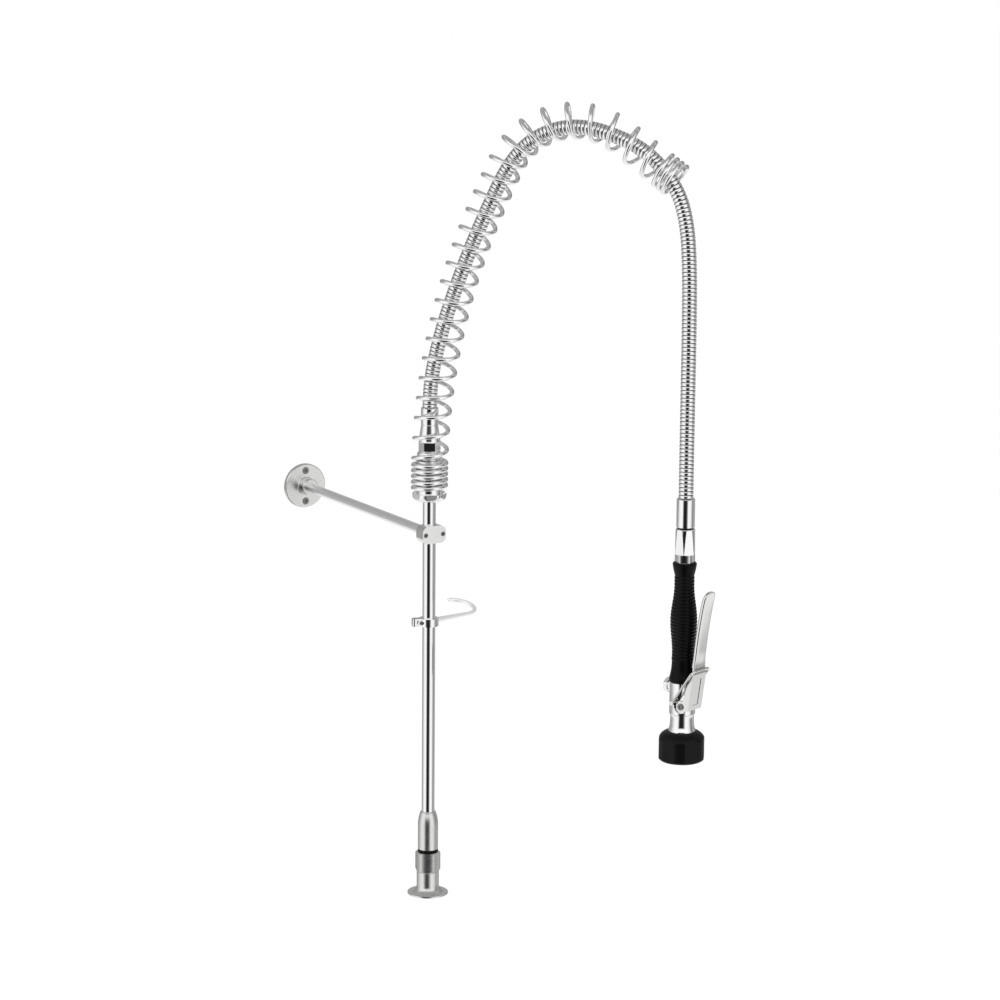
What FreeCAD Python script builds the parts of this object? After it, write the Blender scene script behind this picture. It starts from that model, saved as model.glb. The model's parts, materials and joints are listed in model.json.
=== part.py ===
"""Pre rinse faucet: a parametric assembly of separate pieces, in millimetres.

The frame has its origin under the middle of the foot, +Z up the riser and +Y towards the wall.
Every driving dimension is a cell of the sheet Sizes, and every piece is bound to those cells.
"""

import FreeCAD, Part
import Sketcher
import math
import os

V = FreeCAD.Vector
doc = FreeCAD.newDocument("PreRinseFaucet")

# Driving dimensions, in millimetres, degrees and counts
SIZES = {
    # clearances
    "running_gap": 0.05,
    "free_gap": 0.4,
    "seat_gap": 0.05,
    # foot, nut and sleeve on the deck
    "foot_diameter": 57.0,
    "foot_rim": 3.0,
    "foot_flare_height": 9.6,
    "foot_neck_diameter": 31.4,
    "foot_neck_top": 33.0,
    "foot_spigot_diameter": 24.0,
    "inlet_diameter": 20.9,
    "inlet_depth": 15.0,
    "water_bore": 12.0,
    "nut_flats": 30.8,
    "nut_turn": 23.7,
    "nut_height": 28.0,
    "nut_lip": 4.0,
    "nut_chamfer": 3.4,
    "gasket_height": 4.0,
    "gasket_diameter": 28.6,
    "sleeve_diameter": 28.4,
    "sleeve_height": 30.8,
    "sleeve_wall": 2.2,
    "cap_straight": 5.0,
    "cap_height": 24.0,
    "cap_top_diameter": 22.6,
    "cap_spigot": 6.0,
    # riser
    "riser_diameter": 18.0,
    "riser_wall": 1.5,
    "riser_foot_inset": 20.0,
    "ring_section": 1.8,
    "ring_spacing": 7.0,
    # wall bracket
    "bracket_centre": 519.0,
    "bracket_width": 36.6,
    "bracket_height": 24.6,
    "bracket_corner": 9.0,
    "bracket_front_depth": 15.0,
    "bracket_rear_depth": 4.0,
    "bracket_trumpet": 12.0,
    "bracket_socket_depth": 5.5,
    "bracket_screw_spacing": 27.0,
    "bracket_screw_diameter": 4.0,
    "bracket_head_diameter": 6.6,
    "bracket_head_depth": 4.2,
    "arm_diameter": 13.0,
    "wall_distance": 376.0,
    "flange_diameter": 65.0,
    "flange_thickness": 6.0,
    "flange_edge": 1.2,
    "boss_diameter": 25.0,
    "boss_length": 16.0,
    "wall_hole_spacing": 45.4,
    "wall_hole_diameter": 5.4,
    "wall_head_diameter": 10.4,
    "wall_screw_length": 24.0,
    "grub_diameter": 5.0,
    # hook on the riser
    "hook_centre": 393.0,
    "hook_heading": 12.0,
    "clamp_heading": -15.4,
    "hook_ring_diameter": 27.0,
    "hook_ring_height": 11.0,
    "hook_lug_reach": 24.0,
    "hook_lug_width": 10.0,
    "hook_lug_corner": 3.0,
    "hook_boss_diameter": 10.0,
    "hook_boss_width": 15.0,
    "hook_slot": 2.0,
    "hook_screw_diameter": 3.2,
    "hook_rod_start": 8.0,
    "hook_rod_end": 5.6,
    # holder, nipple and hose end at the top of the riser
    "holder_bottom": 565.0,
    "holder_cup_diameter": 47.2,
    "holder_cup_flats": 44.8,
    "holder_cup_turn": 38.6,
    "holder_cup_height": 11.0,
    "holder_core_diameter": 36.0,
    "holder_top": 622.0,
    "holder_socket_top": 612.0,
    "nipple_ring_diameter": 34.8,
    "nipple_ring_height": 13.5,
    "spigot_diameter": 19.8,
    "spigot_length": 21.0,
    "union_flats": 26.2,
    "union_turn": 30.7,
    "union_hex_height": 12.0,
    "union_height": 36.0,
    "union_wide_diameter": 30.4,
    "union_narrow_diameter": 23.6,
    "union_lip": 6.0,
    "washer_height": 3.0,
    "ferrule_diameter": 24.0,
    "ferrule_height": 24.0,
    "ferrule_neck_diameter": 17.9,
    "ferrule_flange_height": 5.0,
    "hose_diameter": 20.4,
    "hose_root_diameter": 18.6,
    "hose_bore": 13.0,
    "hose_ribs": 200,
    # spring
    "wire_diameter": 6.0,
    "coil_diameter": 45.6,
    "close_pitch": 7.9,
    "lower_close_turns": 5.4,
    "upper_close_turns": 3.1,
    "open_turns": 25,
    "open_sag": 13.8,
    "sag_shift": 1.9,
    "coil_phase": 0.4,
    "axis_straight": 27.0,
    "lean_radius": 950.0,
    "lean_turn": 25.0,
    "rise_run": 44.0,
    "crown_radius": 112.0,
    "crown_turn": 100.0,
    "fall_run": 93.0,
    # where the gooseneck points and where the gun hangs
    "gooseneck_heading": -50.4,
    "gun_heading": -70.4,
    "gun_reach": 370.0,
    "hose_end_height": 597.0,
    # gun
    "lower_ferrule_diameter": 25.0,
    "lower_ferrule_height": 40.0,
    "gun_nut_height": 35.0,
    "gun_nut_top_diameter": 27.0,
    "gun_nut_bottom_diameter": 29.4,
    "gun_nut_flats": 25.8,
    "gun_nut_turn": 1.5,
    "swivel_seal_height": 1.6,
    "handle_hex_flats": 23.8,
    "handle_hex_turn": 37.1,
    "handle_spigot_height": 20.5,
    "handle_bore": 11.0,
    "handle_hex_height": 11.0,
    "handle_tube_diameter": 18.0,
    "grip_top_diameter": 33.0,
    "grip_neck_diameter": 27.4,
    "grip_belly_diameter": 36.8,
    "grip_waist_diameter": 30.8,
    "grip_foot_diameter": 37.0,
    "grip_length": 166.0,
    "grip_ribs": 25,
    "grip_rib_depth": 0.7,
    "body_diameter": 35.4,
    "body_height": 45.0,
    "body_neck_diameter": 25.0,
    "body_neck_height": 16.0,
    "valve_bore": 14.0,
    "valve_drop": 9.0,
    "seat_forward": 5.0,
    "seat_diameter": 9.0,
    "outlet_diameter": 6.0,
    "rear_boss_diameter": 18.0,
    "rear_boss_reach": 19.5,
    "cheek_seat": 25.2,
    "stem_diameter": 5.0,
    "stem_disc_diameter": 12.6,
    "stem_disc_height": 3.0,
    "cap_flats": 19.6,
    "cap_reach": 8.0,
    "cap_spigot_length": 6.0,
    "stem_reach": 22.0,
    "stem_tail": 5.0,
    "stem_ring_diameter": 9.6,
    "valve_seal_height": 1.6,
    "valve_wire": 0.9,
    "valve_turns": 4,
    "pivot_forward": 8.7,
    "pivot_height": 13.0,
    "pivot_diameter": 6.0,
    "pivot_boss_diameter": 16.0,
    "lever_width": 30.4,
    "lever_wall": 2.2,
    "blade_width": 21.0,
    "blade_thickness": 2.6,
    "label_recess": 0.6,
    "label_width": 12.0,
    "label_height": 38.0,
    "bell_height": 24.0,
    "bell_top_diameter": 33.4,
    "bell_tail_diameter": 25.0,
    "bell_tail_height": 18.0,
    "spray_spigot_diameter": 22.0,
    "spray_spigot_height": 5.0,
    "bell_waist_diameter": 32.2,
    "bell_foot_diameter": 37.4,
    "bumper_flats": 61.0,
    "bumper_height": 46.0,
    "bumper_top_diameter": 38.8,
    "bumper_shoulder": 12.5,
    "bumper_foot_edge": 6.0,
    "bumper_below_bell": 42.0,
    "bumper_corner": 3.4,
    "bumper_turn": 2.9,
    "plate_gap": 1.2,
    "bumper_mouth_diameter": 46.0,
    "bumper_mouth_depth": 22.0,
    "plate_diameter": 45.2,
    "plate_thickness": 4.0,
    "jet_diameter": 2.2,
    "jet_circle": 30.0,
    "jet_count": 12,
    "bail_wire": 3.2,
    "bail_spread": 42.4,
    "bail_back": -3.0,
    "bail_height": 17.0,
    "bail_front": 31.0,
    "bail_top": 66.0,
    "bail_pin_depth": 14.2,
}

sheet = doc.addObject("Spreadsheet::Sheet", "Sizes")
for row, (alias, number) in enumerate(SIZES.items(), start=1):
    sheet.set(f"A{row}", alias.replace("_", " "))
    sheet.set(f"B{row}", str(number))
    sheet.setAlias(f"B{row}", alias)
doc.recompute()


class Size:
    """A length worked out from cells of the sheet: its number now, and the expression that binds it."""

    def __init__(self, number, text):
        self.number = float(number)
        self.text = text

    def __add__(self, other):
        other = as_size(other)
        return Size(self.number + other.number, f"({self.text} + {other.text})")

    def __sub__(self, other):
        other = as_size(other)
        return Size(self.number - other.number, f"({self.text} - {other.text})")

    def __mul__(self, factor):
        factor = as_size(factor)
        return Size(self.number * factor.number, f"({self.text} * {factor.text})")

    def __truediv__(self, factor):
        factor = as_size(factor)
        return Size(self.number / factor.number, f"({self.text} / {factor.text})")

    def __neg__(self):
        return Size(-self.number, f"(-{self.text})")

    __radd__ = __add__
    __rmul__ = __mul__

    def __rsub__(self, other):
        return as_size(other) - self


def as_size(value):
    if isinstance(value, Size):
        return value
    text = f"{value:.9f}" if value >= 0 else f"(0 - {-value:.9f})"
    return Size(value, text)


def cell(alias):
    return Size(sheet.get(alias), f"Sizes.{alias}")


def numbers(point):
    return V(as_size(point[0]).number, as_size(point[1]).number, 0)


# Bodies, sketches and features


def new_body(label):
    body = doc.addObject("PartDesign::Body", label)
    body.Label = label
    return body


def origin_plane(body, role):
    return next(plane for plane in body.Origin.OriginFeatures if plane.Role == role)


def fix(sketch, geometry, end, point):
    """Pins one point of the sketch to its two coordinates, each bound to the sheet."""
    for kind, value in zip(("DistanceX", "DistanceY"), point):
        value = as_size(value)
        index = sketch.addConstraint(Sketcher.Constraint(kind, -1, 1, geometry, end, value.number))
        sketch.setExpression(f"Constraints[{index}]", value.text)


def outline_sketch(body, name, outline, role="XZ_Plane", lift=0.0):
    """A closed outline of points; ("through", x, y) between two points makes that side an arc."""
    sketch = body.newObject("Sketcher::SketchObject", name)
    sketch.AttachmentSupport = (origin_plane(body, role), [""])
    sketch.MapMode = "FlatFace"
    lift = as_size(lift)
    if lift.text != as_size(0.0).text:
        sketch.AttachmentOffset = FreeCAD.Placement(V(0, 0, lift.number), FreeCAD.Rotation())
        sketch.setExpression("AttachmentOffset.Base.z", lift.text)
    corners = [index for index, item in enumerate(outline) if item[0] != "through"]
    sides = []
    for place, index in enumerate(corners):
        following = corners[(place + 1) % len(corners)]
        start, finish = outline[index], outline[following]
        middle = outline[index + 1] if index + 1 < len(outline) and outline[index + 1][0] == "through" else None
        if middle is None:
            side = sketch.addGeometry(Part.LineSegment(numbers(start), numbers(finish)), False)
            sides.append((side, 1, 2, start))
            continue
        a, m, b = numbers(start), numbers(middle[1:]), numbers(finish)
        # a sketch keeps its arcs anticlockwise
        clockwise = (m - a).cross(b - m).z < 0
        arc = Part.Arc(b, m, a) if clockwise else Part.Arc(a, m, b)
        side = sketch.addGeometry(arc, False)
        held = sketch.Geometry[side]
        forward = held.StartPoint.sub(a).Length < 1e-6
        sides.append((side, 1 if forward else 2, 2 if forward else 1, start))
        bead = sketch.addGeometry(Part.Point(m), True)
        fix(sketch, bead, 1, middle[1:])
        sketch.addConstraint(Sketcher.Constraint("PointOnObject", bead, 1, side))
    for place, (side, first, last, start) in enumerate(sides):
        after, its_first, _, _ = sides[(place + 1) % len(sides)]
        sketch.addConstraint(Sketcher.Constraint("Coincident", side, last, after, its_first))
        fix(sketch, side, first, start)
    return sketch


def circle_sketch(body, name, centres, diameter, role="XY_Plane", lift=0.0):
    """Circles of one diameter round the given centres, on a lifted origin plane."""
    sketch = body.newObject("Sketcher::SketchObject", name)
    sketch.AttachmentSupport = (origin_plane(body, role), [""])
    sketch.MapMode = "FlatFace"
    lift = as_size(lift)
    sketch.AttachmentOffset = FreeCAD.Placement(V(0, 0, lift.number), FreeCAD.Rotation())
    sketch.setExpression("AttachmentOffset.Base.z", lift.text)
    diameter = as_size(diameter)
    for centre in centres:
        ring = sketch.addGeometry(Part.Circle(numbers(centre), V(0, 0, 1), diameter.number / 2), False)
        index = sketch.addConstraint(Sketcher.Constraint("Diameter", ring, diameter.number))
        sketch.setExpression(f"Constraints[{index}]", diameter.text)
        fix(sketch, ring, 3, centre)
    return sketch


def revolve(body, outline, name="Profile", role="XZ_Plane", axis="V_Axis"):
    sketch = outline_sketch(body, name, outline, role)
    turned = body.newObject("PartDesign::Revolution", name + "Turned")
    turned.Profile = sketch
    turned.ReferenceAxis = (sketch, [axis])
    turned.Angle = 360
    body.Tip = turned
    return turned


def groove(body, outline, name="Cut", role="XZ_Plane", axis="V_Axis"):
    sketch = outline_sketch(body, name, outline, role)
    cut = body.newObject("PartDesign::Groove", name + "Groove")
    cut.Profile = sketch
    cut.ReferenceAxis = (sketch, [axis])
    cut.Angle = 360
    body.Tip = cut
    return cut


def pad(body, sketch, length, midplane=False, backwards=False):
    made = body.newObject("PartDesign::Pad", sketch.Name + "Pad")
    made.Profile = sketch
    length = as_size(length)
    made.Length = length.number
    made.setExpression("Length", length.text)
    made.Midplane = midplane
    made.Reversed = backwards
    body.Tip = made
    return made


def pocket(body, sketch, length, midplane=False, backwards=False):
    """A pocket goes against the sketch's normal, or along it when backwards is set."""
    made = body.newObject("PartDesign::Pocket", sketch.Name + "Pocket")
    made.Profile = sketch
    length = as_size(length)
    made.Length = length.number
    made.setExpression("Length", length.text)
    made.Midplane = midplane
    made.Reversed = backwards
    body.Tip = made
    return made


def turned_piece(label, outline):
    body = new_body(label)
    revolve(body, outline)
    return body


def hexagon(flats, turn=0.0):
    """The six corners of a hexagon of the given width across flats."""
    corner = as_size(flats) / math.sqrt(3)
    angles = [math.radians(turn + 60 * side) for side in range(6)]
    return [(corner * math.cos(angle), corner * math.sin(angle)) for angle in angles]


def rounded_box(width, height, radius, centre=(0.0, 0.0)):
    """A rectangle with round corners, as outline points with arcs."""
    half_w, half_h = as_size(width) / 2, as_size(height) / 2
    radius = as_size(radius)
    lean = radius * (1 - math.sqrt(0.5))
    cx, cy = as_size(centre[0]), as_size(centre[1])
    points = []
    for sx, sy, first in ((1, 1, "x"), (-1, 1, "y"), (-1, -1, "x"), (1, -1, "y")):
        on_side = (cx + half_w * sx, cy + (half_h - radius) * sy)
        on_top = (cx + (half_w - radius) * sx, cy + half_h * sy)
        middle = ("through", cx + (half_w - lean) * sx, cy + (half_h - lean) * sy)
        points += [on_side, middle, on_top] if first == "x" else [on_top, middle, on_side]
    return points


def place(thing, x=0.0, y=0.0, z=0.0, rotation=None):
    """Puts a piece at a place bound to the sheet, with a fixed turn."""
    x, y, z = as_size(x), as_size(y), as_size(z)
    rotation = rotation or FreeCAD.Rotation()
    thing.Placement = FreeCAD.Placement(V(x.number, y.number, z.number), rotation)
    for axis, value in (("x", x), ("y", y), ("z", z)):
        thing.setExpression(f"Placement.Base.{axis}", value.text)
    return thing


def solid_feature(label, shape, placement=None):
    thing = doc.addObject("Part::Feature", label)
    thing.Label = label
    thing.Shape = shape
    if placement is not None:
        thing.Placement = placement.multiply(shape.Placement)
    return thing


pieces = []


def keep(thing):
    pieces.append(thing)
    return thing


def heading(alias):
    return FreeCAD.Rotation(V(0, 0, 1), sheet.get(alias))


# Shared sizes
running = cell("running_gap")
seat = cell("seat_gap")
riser_r = cell("riser_diameter") / 2
riser_hole = riser_r + running
nut_bottom = cell("foot_neck_top") + seat
nut_top = nut_bottom + cell("nut_height")
sleeve_bottom = nut_top + cell("gasket_height") + seat
cap_bottom = sleeve_bottom + cell("sleeve_height") + seat
cap_top = cap_bottom + cell("cap_height")
spigot_r = cell("foot_spigot_diameter") / 2
riser_bottom = nut_bottom + 5.0


def make_foot():
    """Turned foot: wide rim, hollow flare and neck, a spigot inside the nut and the inlet thread below."""
    rim_r = cell("foot_diameter") / 2
    neck_r = cell("foot_neck_diameter") / 2
    rim = cell("foot_rim")
    flare_top = rim + cell("foot_flare_height")
    inlet_r = cell("inlet_diameter") / 2
    depth = cell("inlet_depth")
    water_r = cell("water_bore") / 2
    top = nut_top - cell("nut_lip") - cell("free_gap")
    flare_middle = (neck_r + (rim_r - neck_r) * 0.24, rim + (flare_top - rim) * 0.26)
    body = turned_piece("base_foot", [
        (inlet_r, 0.0), (rim_r - 0.5, 0.0), (rim_r, 0.5), (rim_r, rim - 0.6), (rim_r - 0.8, rim),
        ("through", flare_middle[0], flare_middle[1]), (neck_r, flare_top),
        (neck_r, cell("foot_neck_top") - 1.0), (neck_r - 1.0, cell("foot_neck_top")),
        (spigot_r, cell("foot_neck_top")), (spigot_r, top),
        (riser_hole, top), (riser_hole, riser_bottom - seat),
        (water_r, riser_bottom - seat), (water_r, depth), (inlet_r, depth),
    ])
    ring_r = riser_r + cell("ring_section") / 2
    for number in (0, 1):
        centre = riser_bottom + cell("ring_section") + cell("ring_spacing") * number
        half = cell("ring_section") / 2 + seat
        groove(body, [
            (riser_hole - 0.5, centre - half), (ring_r + half, centre - half),
            (ring_r + half, centre + half), (riser_hole - 0.5, centre + half),
        ], f"RingSeat{number}")
    return keep(body)


def make_riser_rings():
    """Two rubber rings that seal the riser in the foot, kept as one group of solids."""
    section = sheet.get("ring_section") / 2
    ring_r = sheet.get("riser_diameter") / 2 + section
    rings = []
    for number in (0, 1):
        centre = riser_bottom.number + 2 * section + sheet.get("ring_spacing") * number
        rings.append(Part.makeTorus(ring_r, section - 0.02, V(0, 0, centre)))
    return keep(solid_feature("riser_rings", Part.makeCompound(rings)))


def make_base_nut():
    """Tall hexagon nut over the spigot, chamfered at both ends, with a lip round the riser."""
    body = new_body("base_nut")
    sketch = outline_sketch(body, "Hexagon", hexagon(cell("nut_flats"), sheet.get("nut_turn")), "XY_Plane", nut_bottom)
    pad(body, sketch, cell("nut_height"))
    doc.recompute()
    corner_r = cell("nut_flats") / math.sqrt(3)
    chamfer = cell("nut_chamfer")
    groove(body, [
        (corner_r - chamfer, nut_bottom - 1.0), (corner_r + 2.0, nut_bottom - 1.0),
        (corner_r + 2.0, nut_bottom + chamfer), (corner_r, nut_bottom + chamfer), (corner_r - chamfer * 0.6, nut_bottom),
    ], "LowerChamfer")
    groove(body, [
        (corner_r - 1.4, nut_top + 1.0), (corner_r + 2.0, nut_top + 1.0), (corner_r + 2.0, nut_top - 1.4),
        (corner_r, nut_top - 1.4), (corner_r - 1.4, nut_top),
    ], "UpperChamfer")
    bore = spigot_r + running
    lip = nut_top - cell("nut_lip")
    groove(body, [
        (0.0, nut_bottom - 1.0), (bore, nut_bottom - 1.0), (bore, lip), (riser_hole, lip),
        (riser_hole, nut_top + 1.0), (0.0, nut_top + 1.0),
    ], "Bore")
    return keep(body)


def make_base_gasket():
    outer = cell("gasket_diameter") / 2
    low, high = nut_top, nut_top + cell("gasket_height")
    return keep(turned_piece("base_gasket", [
        (riser_hole, low + seat / 2), (outer - 0.6, low + seat / 2), ("through", outer, (low + high) / 2),
        (outer - 0.6, high), (riser_hole, high),
    ]))


def make_sleeve():
    """Hollow turned sleeve round the riser above the gasket."""
    outer = cell("sleeve_diameter") / 2
    inner = outer - cell("sleeve_wall")
    floor = sleeve_bottom + 4.0
    top = sleeve_bottom + cell("sleeve_height")
    return keep(turned_piece("riser_sleeve", [
        (riser_hole, sleeve_bottom), (outer - 0.5, sleeve_bottom), (outer, sleeve_bottom + 0.5),
        (outer, top), (inner, top), (inner, floor), (riser_hole, floor),
    ]))


def make_cap():
    """Domed cap that closes the sleeve: a spigot below, a bulging taper above."""
    outer = cell("sleeve_diameter") / 2
    inner = outer - cell("sleeve_wall") - running
    top_r = cell("cap_top_diameter") / 2
    low = cap_bottom
    straight = low + cell("cap_straight")
    shoulder = cap_top - 2.5
    return keep(turned_piece("riser_cap", [
        (riser_hole, low - cell("cap_spigot")), (inner, low - cell("cap_spigot")), (inner, low), (outer, low),
        (outer, straight), ("through", outer - (outer - top_r) * 0.3, straight + (shoulder - straight) * 0.55),
        (top_r, shoulder), ("through", top_r - 0.55, cap_top - 0.8), (top_r - 1.9, cap_top), (riser_hole, cap_top),
    ]))


def make_riser():
    inner = riser_r - cell("riser_wall")
    top = cell("holder_socket_top") - seat
    return keep(turned_piece("riser_pipe", [
        (inner, riser_bottom), (riser_r, riser_bottom), (riser_r, top), (inner, top),
    ]))


# Wall bracket, drawn in the plane of the wall and standing at the height of the arm
bracket_z = cell("bracket_centre")
front_y = -cell("bracket_front_depth")
parting = cell("seat_gap")
arm_r = cell("arm_diameter") / 2
arm_start = cell("bracket_rear_depth") + cell("bracket_trumpet") - cell("bracket_socket_depth")
screw_x = cell("bracket_screw_spacing") / 2


def make_bracket_front():
    """Front cover of the clamp: a rounded block with half the riser's bore and two counterbored holes."""
    body = new_body("bracket_front")
    face = rounded_box(cell("bracket_width"), cell("bracket_height"), cell("bracket_corner"))
    # the XZ plane's normal points to -Y, so a lift moves a sketch forwards and a pad grows forwards
    sketch = outline_sketch(body, "Face", face, "XZ_Plane", parting)
    pad(body, sketch, -front_y - parting)
    doc.recompute()
    holes = [(-screw_x, 0.0), (screw_x, 0.0)]
    bore = circle_sketch(body, "ScrewHoles", holes, cell("bracket_screw_diameter") + running * 2, "XZ_Plane", -1.0)
    pocket(body, bore, -front_y + 3.0, backwards=True)
    heads = circle_sketch(body, "HeadHoles", holes, cell("bracket_head_diameter") + running * 4, "XZ_Plane",
                          -front_y - cell("bracket_head_depth"))
    pocket(body, heads, cell("bracket_head_depth") + 2.0, backwards=True)
    riser = circle_sketch(body, "RiserBore", [(0.0, 0.0)], riser_hole * 2, "XY_Plane", -cell("bracket_height"))
    pocket(body, riser, cell("bracket_height") * 2, backwards=True)
    return keep(place(body, z=bracket_z))


def make_bracket_rear():
    """Rear half of the clamp: the same block, drawn out into a hollow trumpet that takes the arm."""
    body = new_body("bracket_rear")
    width, height, corner = cell("bracket_width"), cell("bracket_height"), cell("bracket_corner")
    sketch = outline_sketch(body, "Face", rounded_box(width, height, corner), "XZ_Plane", -parting)
    pad(body, sketch, cell("bracket_rear_depth") - parting, backwards=True)
    doc.recompute()
    back = cell("bracket_rear_depth")
    trumpet = cell("bracket_trumpet")
    collar = arm_r + 1.6
    stages = [
        (back, width / 2 - 0.4, height / 2 - 0.4, corner - 0.4),
        (back + trumpet * 0.2, collar + (width / 2 - collar) * 0.5, collar + (height / 2 - collar) * 0.6, corner),
        (back + trumpet * 0.5, collar + (width / 2 - collar) * 0.14, collar + (height / 2 - collar) * 0.2,
         collar - 0.2),
        (back + trumpet, collar, collar, collar - 0.2),
    ]
    sections = []
    for number, (depth, half_w, half_h, radius) in enumerate(stages):
        outline = rounded_box(half_w * 2, half_h * 2, radius)
        sections.append(outline_sketch(body, f"Section{number}", outline, "XZ_Plane", -depth))
    loft = body.newObject("PartDesign::AdditiveLoft", "Trumpet")
    loft.Profile = sections[0]
    loft.Sections = sections[1:]
    loft.Ruled = True
    body.Tip = loft
    doc.recompute()
    socket = circle_sketch(body, "ArmSocket", [(0.0, 0.0)], (arm_r + running) * 2, "XZ_Plane", -arm_start)
    pocket(body, socket, cell("bracket_socket_depth") + 2.0)
    riser = circle_sketch(body, "RiserBore", [(0.0, 0.0)], riser_hole * 2, "XY_Plane", -height)
    pocket(body, riser, height * 2, backwards=True)
    holes = [(-screw_x, 0.0), (screw_x, 0.0)]
    bore = circle_sketch(body, "ScrewHoles", holes, cell("bracket_screw_diameter") + running * 2, "XZ_Plane", 1.0)
    pocket(body, bore, back + 1.0 + 1.0)
    return keep(place(body, z=bracket_z))


def screw_solid(shank_r, head_r, head_length, length, socket, cone=0.0):
    """A socket screw along +Z: its head's face at z = 0, its shank below, a hexagon socket in the head."""
    head = Part.makeCylinder(head_r, head_length, V(0, 0, -head_length))
    if cone:
        head = Part.makeCone(shank_r, head_r, cone, V(0, 0, -cone - 0.3)).fuse(Part.makeCylinder(head_r, 0.3, V(0, 0, -0.3)))
    shank = Part.makeCylinder(shank_r, length, V(0, 0, -length))
    corners = [V(socket / math.sqrt(3) * math.cos(math.radians(60 * side)),
                 socket / math.sqrt(3) * math.sin(math.radians(60 * side)), -min(head_length, 2.0))
               for side in range(6)]
    hole = Part.Face(Part.makePolygon(corners + corners[:1])).extrude(V(0, 0, head_length + 2))
    return head.fuse(shank).cut(hole).removeSplitter()


def make_bracket_screws():
    """Two socket screws that draw the clamp's halves together."""
    head_r = sheet.get("bracket_head_diameter") / 2
    head = sheet.get("bracket_head_depth") - 0.8
    length = sheet.get("bracket_front_depth") - 0.8 + sheet.get("bracket_rear_depth") - 0.8
    shaft = sheet.get("bracket_screw_diameter") / 2
    screw = screw_solid(shaft, head_r, head, length, 3.0)
    screw.rotate(V(), V(1, 0, 0), 90)
    pair = []
    for side in (-1, 1):
        one = screw.copy()
        one.translate(V(side * screw_x.number, front_y.number + 0.8, sheet.get("bracket_centre")))
        pair.append(one)
    return keep(solid_feature("bracket_screws", Part.makeCompound(pair)))


def make_arm():
    body = new_body("arm_rod")
    start = arm_start + seat
    end = cell("wall_distance") - seat - 2.0
    sketch = circle_sketch(body, "Section", [(0.0, 0.0)], arm_r * 2, "XZ_Plane", -start)
    pad(body, sketch, end - start, backwards=True)
    return keep(place(body, z=bracket_z))


def make_wall_flange():
    """Turned wall flange: disc with a broken edge, boss for the rod, two countersunk holes, a grub hole."""
    body = new_body("wall_flange")
    wall = cell("wall_distance")
    rim = cell("flange_diameter") / 2
    thick = cell("flange_thickness")
    boss_r = cell("boss_diameter") / 2
    boss = cell("boss_length")
    edge = cell("flange_edge")
    hole = arm_r + running
    revolve(body, [
        (0.0, wall), (rim, wall), (rim, wall - thick + edge), (rim - edge, wall - thick),
        (boss_r + 1.5, wall - thick), ("through", boss_r + 0.44, wall - thick - 0.44), (boss_r, wall - thick - 1.5),
        (boss_r, wall - thick - boss + 1.0), (boss_r - 1.0, wall - thick - boss),
        (hole, wall - thick - boss), (hole, wall - 2.0), (0.0, wall - 2.0),
    ], role="XY_Plane")
    doc.recompute()
    half = cell("wall_hole_spacing") / 2
    for number, side in enumerate((1, -1)):
        shank = circle_sketch(body, f"Shank{number}", [(0.0, half * side)], cell("wall_hole_diameter"), "XZ_Plane",
                              -wall - 1.0)
        pocket(body, shank, thick + 2.0, backwards=True)
        doc.recompute()
        top = cell("wall_head_diameter") / 2
        small = cell("wall_hole_diameter") / 2
        cone = body.newObject("PartDesign::SubtractiveCone", f"Sink{number}")
        cone.Radius1 = top.number
        cone.Radius2 = small.number
        cone.Height = top.number - small.number
        cone.setExpression("Radius1", (top + 0.1).text)
        cone.setExpression("Radius2", small.text)
        cone.setExpression("Height", (top - small).text)
        cone.Placement = FreeCAD.Placement(V(0, (wall - thick).number, (half * side).number),
                                           FreeCAD.Rotation(V(1, 0, 0), -90))
        cone.setExpression("Placement.Base.y", (wall - thick).text)
        cone.setExpression("Placement.Base.z", (half * side).text)
        body.Tip = cone
        doc.recompute()
    grub = circle_sketch(body, "Grub", [(wall - thick - boss / 2, 0.0)], cell("grub_diameter") + running * 2,
                         "YZ_Plane", -boss_r - 2.0)
    pocket(body, grub, boss_r + 2.0 - hole, backwards=True)
    return keep(place(body, z=bracket_z))


def make_grub_screw():
    """Headless socket screw that bears on the rod through the flange's boss."""
    body = new_body("grub_screw")
    centre = cell("wall_distance") - cell("flange_thickness") - cell("boss_length") / 2
    tip = -arm_r - running
    face = -cell("boss_diameter") / 2 + 0.6
    sketch = circle_sketch(body, "Section", [(centre, 0.0)], cell("grub_diameter"), "YZ_Plane", face)
    pad(body, sketch, tip - face)
    doc.recompute()
    socket = outline_sketch(body, "Socket", [(x + centre, y) for x, y in hexagon(2.5)], "YZ_Plane", face - 1.0)
    pocket(body, socket, 3.0, backwards=True)
    return keep(place(body, z=bracket_z))


def make_wall_screws():
    """Two countersunk socket screws through the wall flange, kept as one group of solids."""
    head_r = sheet.get("wall_head_diameter") / 2
    shaft = sheet.get("wall_hole_diameter") / 2 - 0.3
    screw = screw_solid(shaft, head_r, 2.4, sheet.get("wall_screw_length"), 3.2, cone=head_r - shaft)
    screw.rotate(V(), V(1, 0, 0), 90)
    pair = []
    for side in (-1, 1):
        one = screw.copy()
        one.translate(V(0, (cell("wall_distance") - cell("flange_thickness")).number - 0.35,
                        sheet.get("bracket_centre") + side * sheet.get("wall_hole_spacing") / 2))
        pair.append(one)
    return keep(solid_feature("wall_screws", Part.makeCompound(pair)))


# Hook: the clamp's frame has -X along its lug, the rod's frame has X along the rod
hook_z = cell("hook_centre")


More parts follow.
